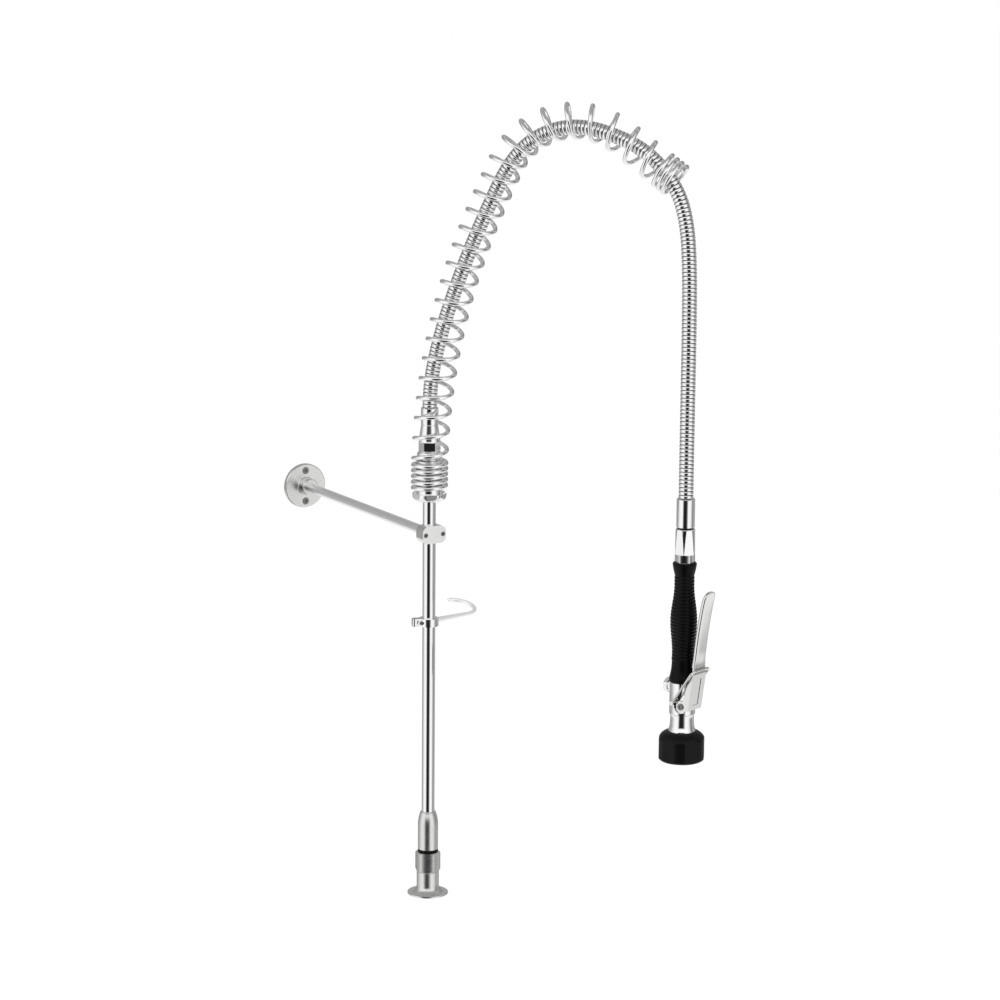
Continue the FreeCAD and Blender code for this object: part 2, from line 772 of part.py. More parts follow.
def make_hook_clamp():
    """Split ring round the riser, with a lug for its screw on one side and a boss for the rod on the other."""
    body = new_body("hook_clamp")
    height = cell("hook_ring_height")
    ring_r = cell("hook_ring_diameter") / 2
    ring = circle_sketch(body, "Ring", [(0.0, 0.0)], ring_r * 2, "XY_Plane", -height / 2)
    pad(body, ring, height)
    doc.recompute()
    reach, thin = cell("hook_lug_reach"), cell("hook_lug_width") / 2
    corner = cell("hook_lug_corner")
    lean = corner * (1 - math.sqrt(0.5))
    lug = outline_sketch(body, "Lug", [
        (0.0, -thin), (0.0, thin), (-reach + corner, thin), ("through", -reach + lean, thin - lean),
        (-reach, thin - corner), (-reach, -thin + corner), ("through", -reach + lean, -thin + lean),
        (-reach + corner, -thin),
    ], "XY_Plane", -height / 2)
    pad(body, lug, height)
    doc.recompute()
    half = cell("hook_boss_width") / 2
    boss = circle_sketch(body, "Boss", [(hook_screw_x, 0.0)], cell("hook_boss_diameter"), "XZ_Plane")
    pad(body, boss, half * 2, midplane=True)
    doc.recompute()
    bore = circle_sketch(body, "RiserBore", [(0.0, 0.0)], riser_hole * 2, "XY_Plane", -height)
    pocket(body, bore, height * 2, backwards=True)
    doc.recompute()
    slot = outline_sketch(body, "Slot", [
        (-reach - 1.0, -cell("hook_slot") / 2), (-reach - 1.0, cell("hook_slot") / 2),
        (0.0, cell("hook_slot") / 2), (0.0, -cell("hook_slot") / 2),
    ], "XY_Plane", -height)
    pocket(body, slot, height * 2, backwards=True)
    doc.recompute()
    centre = hook_screw_x
    screw = circle_sketch(body, "ScrewHole", [(centre, 0.0)], cell("hook_screw_diameter") + running * 2, "XZ_Plane",
                          -half + 2.0)
    pocket(body, screw, half * 2, backwards=True)
    doc.recompute()
    head = circle_sketch(body, "HeadHole", [(centre, 0.0)], cell("hook_screw_diameter") * 1.8 + running * 4, "XZ_Plane",
                         half - 2.6)
    pocket(body, head, 5.0, backwards=True)
    doc.recompute()
    # the peg of the rod sits in a hole that points where the rod points
    hole = body.newObject("PartDesign::SubtractiveCylinder", "RodHole")
    hole.Radius = sheet.get("hook_rod_start") * 0.35 + running.number
    hole.setExpression("Radius", "Sizes.hook_rod_start * 0.35 + Sizes.running_gap")
    hole.Height = ring_r.number
    hole.setExpression("Height", ring_r.text)
    turn = math.radians(sheet.get("hook_heading") - sheet.get("clamp_heading"))
    hole.Placement = FreeCAD.Placement(V(riser_r.number * math.cos(turn), riser_r.number * math.sin(turn), 0),
                                       FreeCAD.Rotation(V(0, 0, 1), V(math.cos(turn), math.sin(turn), 0)))
    body.Tip = hole
    return keep(place(body, z=hook_z, rotation=heading("clamp_heading")))


hook_screw_x = -(riser_r + cell("hook_screw_diameter"))


def make_hook_screw():
    half = sheet.get("hook_boss_width") / 2
    shaft = sheet.get("hook_screw_diameter") / 2
    screw = screw_solid(shaft, shaft * 1.8, 2.4, half * 2 - 3.6, 2.5)
    screw.rotate(V(), V(1, 0, 0), 90)
    screw.translate(V(hook_screw_x.number, -half + 0.2, 0))
    turned = FreeCAD.Placement(V(0, 0, sheet.get("hook_centre")), heading("clamp_heading"))
    return keep(solid_feature("hook_screw", screw, turned))


def make_hook_rod():
    """Tapered rod that ends in a half circle, tilted up so that a hung gun can't slide off; a peg holds it."""
    big = sheet.get("hook_rod_start") / 2
    small = sheet.get("hook_rod_end") / 2
    ring_r = sheet.get("hook_ring_diameter") / 2
    start = math.sqrt(ring_r ** 2 - big ** 2) + 0.1
    peg = Part.makeCylinder(big * 0.7, start + 1.0 - riser_hole.number - 0.1, V(riser_hole.number + 0.1, 0, 0), V(1, 0, 0))
    root = Part.makeCylinder(big, ring_r + 0.1 - start + 0.5, V(start, 0, 0), V(1, 0, 0))
    root = root.cut(Part.makeCylinder(ring_r + 0.05, 40, V(0, 0, -20)))
    straight = Part.makeCone(big, small, HOOK_STRAIGHT - ring_r - 0.5, V(ring_r + 0.5, 0, 0), V(1, 0, 0))
    profile = Part.Wire([Part.Circle(V(HOOK_STRAIGHT, 0, 0), V(1, 0, 0), small).toShape()])
    bend_r = HOOK_BEND
    a = math.radians(165)
    path = Part.Wire([Part.Arc(
        V(HOOK_STRAIGHT, 0, 0),
        V(HOOK_STRAIGHT + bend_r * math.sin(a / 2), bend_r * (1 - math.cos(a / 2)), 0),
        V(HOOK_STRAIGHT + bend_r * math.sin(a), bend_r * (1 - math.cos(a)), 0),
    ).toShape()])
    bend = path.makePipeShell([profile], True, False)
    tip = Part.makeSphere(small, V(HOOK_STRAIGHT + bend_r * math.sin(a), bend_r * (1 - math.cos(a)), 0))
    rod = peg.fuse([root, straight, bend, tip]).removeSplitter()
    rod.rotate(V(), V(1, 0, 0), 12)
    turned = FreeCAD.Placement(V(0, 0, sheet.get("hook_centre")), heading("hook_heading"))
    return keep(solid_feature("hook_rod", rod, turned))


HOOK_STRAIGHT = 74.0
HOOK_BEND = 25.0


# Holder, nipple, union nut and ferrule at the top of the riser
holder_bottom = cell("holder_bottom")
core_r = cell("holder_core_diameter") / 2
nipple_bottom = cell("holder_top") + seat
nipple_seat = nipple_bottom + cell("nipple_ring_height")
spigot_top = nipple_seat + cell("spigot_length")
union_top = nipple_seat + seat + cell("union_height")
thread_r = cell("spigot_diameter") / 2
bore_r = cell("hose_bore") / 2
neck_r = cell("ferrule_neck_diameter") / 2
ferrule_bottom = union_top + seat
hose_start = ferrule_bottom + cell("ferrule_height")
cup_top = holder_bottom + cell("holder_cup_height")


def make_spring_holder():
    """Turned holder on the riser's end: a cup that carries the spring, a core inside its close turns."""
    cup_r = cell("holder_cup_diameter") / 2
    body = turned_piece("spring_holder", [
        (riser_hole, holder_bottom), (core_r - 4.0, holder_bottom),
        ("through", cup_r - 2.4, holder_bottom + 2.0), (cup_r, cup_top - 4.0),
        (cup_r, cup_top - 0.6), (cup_r - 0.6, cup_top), (core_r, cup_top),
        (core_r, cell("holder_top") - 1.0), (core_r - 1.0, cell("holder_top")),
        (riser_r, cell("holder_top")), (riser_r, cell("holder_socket_top")), (riser_hole, cell("holder_socket_top")),
    ])
    doc.recompute()
    flats = hexagon(cell("holder_cup_flats"), sheet.get("holder_cup_turn"))
    body_ring = outline_sketch(body, "CupFlats", flats, "XY_Plane", holder_bottom - 1.0)
    outside = body_ring.addGeometry(Part.Circle(V(), V(0, 0, 1), sheet.get("holder_cup_diameter")), False)
    body_ring.addConstraint(Sketcher.Constraint("Coincident", outside, 3, -1, 1))
    index = body_ring.addConstraint(Sketcher.Constraint("Radius", outside, sheet.get("holder_cup_diameter")))
    body_ring.setExpression(f"Constraints[{index}]", "Sizes.holder_cup_diameter")
    pocket(body, body_ring, cell("holder_cup_height") + 1.0, backwards=True)
    return keep(body)


def make_nipple():
    """Turned nipple: a spigot in the holder, a round flange, a threaded spigot up into the union nut."""
    ring_r = cell("nipple_ring_diameter") / 2
    low, high = nipple_bottom, nipple_seat
    middle = (low + high) / 2
    return keep(turned_piece("hose_nipple", [
        (bore_r, cell("holder_socket_top") + seat), (riser_r - running, cell("holder_socket_top") + seat),
        (riser_r - running, low), (ring_r - 4.0, low), ("through", ring_r, middle), (ring_r - 4.0, high),
        (thread_r, high), (thread_r, spigot_top), (bore_r, spigot_top),
    ]))


def make_union_nut():
    """Union nut: a hexagon below, a polished cone above, hollow over the spigot and the ferrule's flange."""
    body = new_body("union_nut")
    low = nipple_seat + seat
    hex_top = low + cell("union_hex_height")
    sketch = outline_sketch(body, "Hexagon", hexagon(cell("union_flats"), sheet.get("union_turn")), "XY_Plane", low)
    pad(body, sketch, cell("union_hex_height"))
    doc.recompute()
    wide, narrow = cell("union_wide_diameter") / 2, cell("union_narrow_diameter") / 2
    lip = union_top - cell("union_lip")
    revolve(body, [
        (0.0, hex_top - 0.5), (wide - 1.2, hex_top - 0.5), (wide, hex_top + 0.6), (wide - 0.3, hex_top + 2.0),
        (narrow, union_top - 0.4), (narrow - 0.4, union_top), (0.0, union_top),
    ], "Cone")
    doc.recompute()
    groove(body, [
        (0.0, low - 1.0), (thread_r + running, low - 1.0), (thread_r + running, lip),
        (neck_r + running, lip), (neck_r + running, union_top + 1.0), (0.0, union_top + 1.0),
    ], "Bore")
    return keep(body)


def make_union_washer():
    low = spigot_top + seat
    return keep(turned_piece("union_washer", [
        (bore_r, low), (thread_r - 0.2, low), (thread_r - 0.2, low + cell("washer_height")),
        (bore_r, low + cell("washer_height")),
    ]))


def make_upper_ferrule():
    """Crimped ferrule on the hose: a smooth sleeve above the nut, a neck and flange inside it."""
    outer = cell("ferrule_diameter") / 2
    flange_low = spigot_top + cell("washer_height") + seat * 2
    flange_high = flange_low + cell("ferrule_flange_height")
    return keep(turned_piece("upper_ferrule", [
        (bore_r, flange_low), (thread_r - 0.1, flange_low), (thread_r - 0.1, flange_high), (neck_r, flange_high),
        (neck_r, ferrule_bottom), (outer - 0.8, ferrule_bottom), (outer, ferrule_bottom + 0.8),
        (outer, hose_start - 1.2), (outer - 1.2, hose_start), (bore_r, hose_start),
    ]))


# Spring and hose: both lie in the plane of the gooseneck, which the heading turns into place
class Track:
    """The spring's centre line in its plane: a straight, a gentle lean, a straight, the crown, a straight."""

    def __init__(self):
        self.start = sheet.get("holder_bottom") + sheet.get("axis_straight")
        self.legs = [
            (sheet.get("lean_radius"), math.radians(sheet.get("lean_turn"))),
            (0.0, sheet.get("rise_run")),
            (sheet.get("crown_radius"), math.radians(sheet.get("crown_turn"))),
            (0.0, sheet.get("fall_run")),
        ]
        self.length = sum(radius * size if radius else size for radius, size in self.legs)

    def at(self, distance):
        """Reach, height and heading from the vertical at a distance past the start (below it if negative)."""
        reach, height, angle = 0.0, self.start, 0.0
        if distance <= 0:
            return reach, height + distance, angle
        for number, (radius, size) in enumerate(self.legs):
            length = radius * size if radius else size
            part = distance if number == len(self.legs) - 1 else min(distance, length)
            if radius:
                turn = part / radius
                reach += radius * (math.cos(angle) - math.cos(angle + turn))
                height += radius * (math.sin(angle + turn) - math.sin(angle))
                angle += turn
            else:
                reach += part * math.sin(angle)
                height += part * math.cos(angle)
            distance -= part
            if distance <= 0:
                break
        return reach, height, angle


class Coil:
    """The wire's centre line: close turns on the holder, open turns over the crown, close turns at the end."""

    def __init__(self):
        self.track = Track()
        self.radius = sheet.get("coil_diameter") / 2
        self.pitch = sheet.get("close_pitch")
        self.low = sheet.get("lower_close_turns")
        self.open = sheet.get("open_turns")
        self.high = sheet.get("upper_close_turns")
        self.sag = sheet.get("open_sag")
        self.shift = sheet.get("sag_shift")
        self.phase = sheet.get("coil_phase")
        self.turns = self.low + self.open + self.high
        wire_r = sheet.get("wire_diameter") / 2
        self.first = sheet.get("holder_bottom") + sheet.get("holder_cup_height") + wire_r
        self.first += sheet.get("free_gap") - self.track.start
        self.open_start = self.first + self.low * self.pitch
        self.open_end = self.track.length - self.high * self.pitch

    def station(self, turn):
        if turn <= self.low:
            return self.first + turn * self.pitch
        if turn >= self.low + self.open:
            return self.open_end + (turn - self.low - self.open) * self.pitch
        share = (turn - self.low) / self.open
        even = self.open_start + share * (self.open_end - self.open_start)
        return even - self.sag * math.sin(math.pi * share ** self.shift) ** 2

    def point(self, turn):
        reach, height, angle = self.track.at(self.station(turn))
        outward = V(-math.cos(angle), 0, math.sin(angle))
        along = V(math.sin(angle), 0, math.cos(angle))
        around = 2 * math.pi * (turn - self.phase)
        offset = outward * (self.radius * math.cos(around)) + along.cross(outward) * (self.radius * math.sin(around))
        return V(reach, 0, height) + offset

    def direction(self, turn):
        step = 0.001
        way = self.point(turn + step) - self.point(turn - step)
        return way.normalize()


def arc_from(start, direction, end):
    """The arc that leaves start along direction and reaches end."""
    chord = end - start
    normal = direction.cross(chord)
    normal.normalize()
    inward = normal.cross(direction)
    radius = chord.dot(chord) / (2 * chord.dot(inward))
    centre = start + inward * radius
    middle = (start + end) * 0.5 - centre
    middle.normalize()
    return Part.Arc(start, centre + middle * radius, end).toShape()


def biarc(start, first, end, last):
    """Two arcs that leave start along first and come into end along last."""
    chord = end - start
    ways = first + last
    bend = 2 * (1 - first.dot(last))
    run = (-chord.dot(ways) + math.sqrt(chord.dot(ways) ** 2 + bend * chord.dot(chord))) / bend
    joint = (start + first * run + end - last * run) * 0.5
    back = arc_from(end, last * -1, joint)
    curve = back.Curve
    middle = curve.value((back.FirstParameter + back.LastParameter) / 2)
    return [arc_from(start, first, joint), Part.Arc(joint, middle, end).toShape()]


def make_spring():
    """The visible spring as one unbroken wire: half turns, each a pair of arcs, swept by the wire's section."""
    coil = Coil()
    wire_r = sheet.get("wire_diameter") / 2
    halves = round(coil.turns * 2)
    edges = []
    for number in range(halves):
        low, high = number / 2, (number + 1) / 2
        edges += biarc(coil.point(low), coil.direction(low), coil.point(high), coil.direction(high))
    route = Part.Wire(edges)
    section = Part.Wire([Part.Circle(coil.point(0), coil.direction(0), wire_r).toShape()])
    spring = route.makePipeShell([section], True, False)
    samples = [coil.point(number / 40) for number in range(halves * 20 + 1)]
    least = min((samples[i] - samples[j]).Length
                for i in range(0, len(samples), 2) for j in range(i + 30, min(i + 56, len(samples))))
    print("spring: turns", coil.turns, "wire length", round(route.Length), "volume share",
          round(spring.Volume / (route.Length * math.pi * wire_r ** 2), 4), "least gap", round(least - 2 * wire_r, 2))
    thing = solid_feature("gooseneck_spring", spring, FreeCAD.Placement(V(), heading("gooseneck_heading")))
    return keep(thing)


# The hose's route in the plane of the gooseneck, chosen by hand as reach and height: inside the spring, and then,
# from the gun's reach and the hose's end, the stretch that hangs
HOSE_INSIDE = [
    (0, 728), (14, 793), (34.5, 856), (58, 918), (84, 977), (112, 1035), (145.5, 1071.8), (191.4, 1090.8),
    (241, 1088.6), (307.5, 1063.5), (349.5, 1016.5),
]
HOSE_HANGING = [(-5.5, 374), (-0.7, 316), (0.3, 235), (0, 116), (0, 0)]


def rounded_route(points):
    """Straight runs joined by tangent arcs, each as large as its two runs allow; also the arcs' radii."""
    edges, radii, last = [], [], points[0]
    for before, corner, after in zip(points, points[1:], points[2:]):
        back, ahead = before - corner, after - corner
        turn = math.pi - back.getAngle(ahead)
        reach = 0.45 * min(back.Length, ahead.Length)
        radii.append(reach / math.tan(turn / 2))
        back.normalize()
        ahead.normalize()
        start, end = corner + back * reach, corner + ahead * reach
        centre_way = (back + ahead).normalize()
        centre = corner + centre_way * (radii[-1] / math.cos(turn / 2))
        edges.append(Part.makeLine(last, start))
        edges.append(Part.Arc(start, centre - centre_way * radii[-1], end).toShape())
        last = end
    edges.append(Part.makeLine(last, points[-1]))
    return edges, radii


def route_frame(edges, distance):
    """The point and direction at a distance along the edges."""
    for edge in edges:
        if distance <= edge.Length + 1e-9:
            parameter = edge.getParameterByLength(min(distance, edge.Length))
            point = edge.valueAt(parameter)
            way = edge.tangentAt(parameter)
            if (edge.valueAt(edge.LastParameter) - edge.valueAt(edge.FirstParameter)).dot(way) < 0:
                way = way * -1
            return point, way
        distance -= edge.Length
    return route_frame(edges[-1:], edges[-1].Length)


def make_hose():
    """Ribbed metal hose: rings of four circles each, lofted straight, with its bore and plain ends."""
    end = V(sheet.get("gun_reach"), 0, sheet.get("hose_end_height"))
    points = [V(0, 0, hose_start.number)]
    points += [V(reach, 0, height) for reach, height in HOSE_INSIDE]
    points += [end + V(reach, 0, height) for reach, height in HOSE_HANGING]
    edges, radii = rounded_route(points)
    length = sum(edge.Length for edge in edges)
    crest, root = sheet.get("hose_diameter") / 2, sheet.get("hose_root_diameter") / 2
    end_run = sheet.get("hose_diameter") / 2
    ribs = int(sheet.get("hose_ribs"))
    pitch = (length - 2 * end_run) / ribs
    stations = [(0.0, root)]
    for number in range(ribs):
        low = end_run + number * pitch
        stations += [(low + pitch * 0.12, root), (low + pitch * 0.3, crest), (low + pitch * 0.7, crest),
                     (low + pitch * 0.88, root)]
    stations.append((length, root))

    def circle(distance, radius):
        centre, way = route_frame(edges, distance)
        ring = Part.Circle()
        ring.Center = centre
        ring.Axis = way
        ring.XAxis = V(0, 1, 0)
        ring.Radius = radius
        return Part.Wire([ring.toShape()])

    outside = Part.makeLoft([circle(distance, radius) for distance, radius in stations], True, True)
    centre, way = route_frame(edges, 0.0)
    bore = Part.Wire(edges).makePipeShell([Part.Wire([Part.Circle(centre, way, bore_r.number).toShape()])], True, False)
    hose = outside.cut(bore)
    print("hose: length", round(length), "ribs", ribs, "least radius", round(min(radii)),
          "volume", round(hose.Volume), "valid", hose.isValid())
    return keep(solid_feature("hose", hose, FreeCAD.Placement(V(), heading("gooseneck_heading"))))


# Gun: its own frame has X towards the lever and the same heights as the faucet
gun_x = sheet.get("gun_reach") * math.cos(math.radians(sheet.get("gooseneck_heading")))
gun_y = sheet.get("gun_reach") * math.sin(math.radians(sheet.get("gooseneck_heading")))
GUN = FreeCAD.Placement(V(gun_x, gun_y, 0), heading("gun_heading"))
shoulder = cell("hose_end_height") - cell("lower_ferrule_height")
gun_nut_top = shoulder - cell("swivel_seal_height") - seat * 2
gun_nut_bottom = gun_nut_top - cell("gun_nut_height")
hex_top = gun_nut_bottom - seat
hex_bottom = hex_top - cell("handle_hex_height")
grip_top = hex_bottom - seat
grip_bottom = grip_top - cell("grip_length")
body_top = grip_bottom - seat
body_bottom = body_top - cell("body_height")
bell_top = body_bottom - seat
bell_bottom = bell_top - cell("bell_height")
bumper_bottom = bell_bottom - cell("bumper_below_bell")
handle_spigot_top = gun_nut_bottom + cell("handle_spigot_height")
tube_r = cell("handle_tube_diameter") / 2
tube_bottom = body_top + 5.0
handle_bore = cell("handle_bore") / 2
valve_z = body_top - cell("valve_drop")
pivot_z = body_bottom + cell("pivot_height")
pivot_x = cell("pivot_forward")
chamber_r = cell("valve_bore") / 2
guide_r = cell("stem_diameter") / 2 + running
seat_x = cell("seat_forward")


def on_gun(thing):
    thing.Placement = GUN
    return keep(thing)


def make_lower_ferrule():
    outer = cell("lower_ferrule_diameter") / 2
    top = cell("hose_end_height")
    flange_low = handle_spigot_top + seat * 2 + cell("washer_height")
    flange_high = flange_low + cell("ferrule_flange_height")
    return on_gun(turned_piece("lower_ferrule", [
        (bore_r, flange_low), (thread_r - 0.1, flange_low), (thread_r - 0.1, flange_high), (neck_r, flange_high),
        (neck_r, shoulder), (outer - 0.8, shoulder), (outer, shoulder + 0.8), (outer, top - 1.2), (outer - 1.2, top),
        (bore_r, top),
    ]))


def make_swivel_seal():
    outer = cell("lower_ferrule_diameter") / 2 - 1.4
    low = gun_nut_top + seat
    return on_gun(turned_piece("swivel_seal", [
        (neck_r + running, low), (outer, low), (outer, shoulder - seat), (neck_r + running, shoulder - seat),
    ]))


def make_gun_nut():
    """Union nut, a cone with six flats, that turns on the handle's threaded end under the ferrule."""
    high_r, low_r = cell("gun_nut_top_diameter") / 2, cell("gun_nut_bottom_diameter") / 2
    lip = gun_nut_top - cell("union_lip")
    body = turned_piece("gun_nut", [
        (thread_r + running, gun_nut_bottom), (low_r - 0.8, gun_nut_bottom), (low_r, gun_nut_bottom + 0.8),
        (low_r - 0.1, gun_nut_bottom + 3.0), (high_r, gun_nut_top - 1.2), (high_r - 1.2, gun_nut_top),
        (neck_r + running, gun_nut_top), (neck_r + running, lip), (thread_r + running, lip),
    ])
    doc.recompute()
    flats = hexagon(cell("gun_nut_flats"), sheet.get("gun_nut_turn"))
    ring = outline_sketch(body, "Flats", flats, "XY_Plane", gun_nut_bottom - 1.0)
    outside = ring.addGeometry(Part.Circle(V(), V(0, 0, 1), sheet.get("gun_nut_bottom_diameter")), False)
    ring.addConstraint(Sketcher.Constraint("Coincident", outside, 3, -1, 1))
    index = ring.addConstraint(Sketcher.Constraint("Radius", outside, sheet.get("gun_nut_bottom_diameter")))
    ring.setExpression(f"Constraints[{index}]", "Sizes.gun_nut_bottom_diameter")
    pocket(body, ring, cell("gun_nut_height") + 2.0, backwards=True)
    return on_gun(body)


def make_gun_washer():
    low = handle_spigot_top + seat
    return on_gun(turned_piece("gun_washer", [
        (bore_r, low), (thread_r - 0.2, low), (thread_r - 0.2, low + cell("washer_height")),
        (bore_r, low + cell("washer_height")),
    ]))


def make_handle_tube():
    """Core of the handle: a threaded spigot above, a hexagon for the spanner, the tube inside the grip."""
    body = new_body("handle_tube")
    sketch = outline_sketch(body, "Hexagon", hexagon(cell("handle_hex_flats"), sheet.get("handle_hex_turn")), "XY_Plane", hex_bottom)
    pad(body, sketch, cell("handle_hex_height"))
    doc.recompute()
    revolve(body, [
        (0.0, tube_bottom), (tube_r, tube_bottom), (tube_r, hex_bottom + 1.0), (thread_r, hex_bottom + 1.0),
        (thread_r, handle_spigot_top - 0.6), (thread_r - 0.6, handle_spigot_top), (0.0, handle_spigot_top),
    ], "Core")
    doc.recompute()
    groove(body, [
        (0.0, tube_bottom - 1.0), (handle_bore, tube_bottom - 1.0), (handle_bore, handle_spigot_top + 1.0),
        (0.0, handle_spigot_top + 1.0),
    ], "WaterBore")
    return on_gun(body)


def make_grip():
    """Moulded grip pushed over the tube: it swells to a belly, with round ribs all the way down, as fingers like it."""
    rim, neck = cell("grip_top_diameter") / 2, cell("grip_neck_diameter") / 2
    belly, waist = cell("grip_belly_diameter") / 2, cell("grip_waist_diameter") / 2
    foot = cell("grip_foot_diameter") / 2
    hole = tube_r + running
    counter = cell("body_neck_diameter") / 2 + running
    counter_top = grip_bottom + cell("body_neck_height") + 1.0
    down = cell("grip_length")
    stations = [(0.19, neck), (0.49, belly), (0.76, waist), (0.97, foot)]

    def swell(share):
        """Radius without ribs at a share of the way down: smooth from each station to the next."""
        for (first, small), (last, large) in zip(stations, stations[1:]):
            if share <= last:
                ease = (1 - math.cos(math.pi * max(0.0, (share - first) / (last - first)))) / 2
                return small + (large - small) * ease
        return foot

    ribs = int(sheet.get("grip_ribs"))
    first_share, last_share = 0.115, 0.82
    depth = cell("grip_rib_depth")
    outline = [(hole, grip_top), (rim - 1.5, grip_top), (rim, grip_top - 2.0), (rim - 0.3, grip_top - 4.6),
               ("through", neck + 1.2, grip_top - down * 0.07), (swell(first_share) - depth, grip_top - down * first_share)]
    for number in range(ribs):
        share = first_share + (last_share - first_share) * (number + 1) / ribs
        middle = first_share + (last_share - first_share) * (number + 0.5) / ribs
        outline += [("through", swell(middle), grip_top - down * middle), (swell(share) - depth, grip_top - down * share)]
    outline += [
        ("through", waist + 0.7, grip_bottom + down * 0.1), (foot, grip_bottom + 5.0),
        (foot, grip_bottom + 0.8), (foot - 0.8, grip_bottom), (counter, grip_bottom), (counter, counter_top),
        (hole, counter_top),
    ]
    return on_gun(turned_piece("grip", outline))


def make_valve_body():
    """Cast valve body: a drum with a neck into the grip, a cross bore for the valve, side recesses for the lever."""
    body = new_body("valve_body")
    drum = cell("body_diameter") / 2
    neck = cell("body_neck_diameter") / 2
    neck_top = body_top + cell("body_neck_height")
    revolve(body, [
        (0.0, body_bottom), (drum - 0.6, body_bottom), (drum, body_bottom + 0.6), (drum, body_top - 0.6),
        (drum - 0.6, body_top), (neck, body_top), (neck, neck_top), (0.0, neck_top),
    ])
    doc.recompute()
    boss = circle_sketch(body, "RearBoss", [(0.0, valve_z)], cell("rear_boss_diameter"), "YZ_Plane", 0.0)
    pad(body, boss, cell("rear_boss_reach"), backwards=True)
    doc.recompute()
    # the lever's cheeks lie in flat recesses on both sides, open towards the front and up
    depth = cell("cheek_seat") / 2
    pivot_recess = cell("pivot_boss_diameter") / 2 + 1.3
    for number, side in enumerate((1, -1)):
        lift = depth * side
        round_part = circle_sketch(body, f"PivotRecess{number}", [(pivot_x, pivot_z)], pivot_recess * 2, "XZ_Plane",
                                   -lift)
        pocket(body, round_part, drum, backwards=side < 0)
        doc.recompute()
        flat = outline_sketch(body, f"CheekRecess{number}", [
            (pivot_x - pivot_recess * 0.5, pivot_z - pivot_recess * 0.86), (drum + 2.0, pivot_z - pivot_recess * 0.86),
            (drum + 2.0, body_top + 1.0), (pivot_x + 2.5, body_top + 1.0), (pivot_x - pivot_recess, pivot_z),
        ], "XZ_Plane", -lift)
        pocket(body, flat, drum, backwards=side < 0)
        doc.recompute()
        thread = circle_sketch(body, f"PivotHole{number}", [(pivot_x, pivot_z)], cell("pivot_diameter") + running * 2,
                               "XZ_Plane", -(depth - 4.0) * side)
        pocket(body, thread, drum, backwards=side < 0)
        doc.recompute()
        eye = circle_sketch(body, f"BailHole{number}", [(cell("bail_back"), body_bottom + cell("bail_height"))],
                            cell("bail_wire") * 0.9 + running * 2, "XZ_Plane", -(cell("bail_pin_depth") - 0.3) * side)
        pocket(body, eye, drum, backwards=side < 0)
        doc.recompute()
    inlet = circle_sketch(body, "Inlet", [(0.0, 0.0)], (tube_r + running) * 2, "XY_Plane", tube_bottom - seat)
    pocket(body, inlet, neck_top - tube_bottom + 2.0, backwards=True)
    doc.recompute()
    way = circle_sketch(body, "Waterway", [(0.0, 0.0)], handle_bore * 2, "XY_Plane", valve_z)
    pocket(body, way, neck_top - valve_z, backwards=True)
    doc.recompute()
    chamber = circle_sketch(body, "Chamber", [(0.0, valve_z)], chamber_r * 2, "YZ_Plane", seat_x)
    pocket(body, chamber, seat_x + cell("rear_boss_reach") + 1.0)
    doc.recompute()
    outlet_bore = circle_sketch(body, "ValveSeat", [(0.0, valve_z)], cell("seat_diameter"), "YZ_Plane", seat_x - 1.0)
    pocket(body, outlet_bore, 4.0 + 1.0, backwards=True)
    doc.recompute()
    guide = circle_sketch(body, "StemGuide", [(0.0, valve_z)], guide_r * 2, "YZ_Plane", 0.0)
    pocket(body, guide, drum + 2.0, backwards=True)
    doc.recompute()
    ring = circle_sketch(body, "StemRingSeat", [(0.0, valve_z)], cell("stem_ring_diameter"), "YZ_Plane",
                         drum - 4.0)
    pocket(body, ring, drum, backwards=True)
    doc.recompute()
    down = circle_sketch(body, "Outlet", [(seat_x + 2.2, 0.0)], cell("outlet_diameter"), "XY_Plane", body_bottom - 1.0)
    pocket(body, down, valve_z - body_bottom + 1.0, backwards=True)
    doc.recompute()
    foot_way = circle_sketch(body, "SprayBore", [(0.0, 0.0)], cell("spray_spigot_diameter") + running * 2, "XY_Plane",
                             body_bottom - 1.0)
    pocket(body, foot_way, 1.0 + cell("spray_spigot_height") + seat, backwards=True)
    return on_gun(body)


def make_rear_cap():
    """Domed hexagon cap that closes the valve's bore and holds its spring."""
    body = new_body("valve_cap")
    face = -cell("rear_boss_reach") - seat
    flats = [(along, across + valve_z) for along, across in hexagon(cell("cap_flats"), 30.0)]
    sketch = outline_sketch(body, "Hexagon", flats, "YZ_Plane", face)
    pad(body, sketch, cell("cap_reach"), backwards=True)
    doc.recompute()
    spigot = circle_sketch(body, "Spigot", [(0.0, valve_z)], (chamber_r - running) * 2, "YZ_Plane", face - 1.0)
    pad(body, spigot, 1.0 + cell("cap_spigot_length"))
    doc.recompute()
    # the outer edge is turned round: a groove about the bore's axis
    corner = cell("cap_flats") / math.sqrt(3)
    outer = face - cell("cap_reach")
    shave = outline_sketch(body, "DomeEdge", [
        (outer - 1.0, valve_z + corner - 4.6), (outer, valve_z + corner - 4.6),
        ("through", outer + 1.2, valve_z + corner - 1.8), (outer + 4.4, valve_z + corner + 0.2),
        (outer + 4.4, valve_z + corner + 2.0), (outer - 1.0, valve_z + corner + 2.0),
    ], "XZ_Plane")
    axis = body.newObject("PartDesign::Line", "BoreAxis")
    axis.Placement = FreeCAD.Placement(V(0, 0, valve_z.number), FreeCAD.Rotation(V(0, 0, 1), V(1, 0, 0)))
    cut = body.newObject("PartDesign::Groove", "DomeGroove")
    cut.Profile = shave
    cut.ReferenceAxis = (axis, [""])
    cut.Angle = 360
    body.Tip = cut
    return on_gun(body)


stem_tip = cell("stem_reach")
disc_x = seat_x - cell("valve_seal_height")


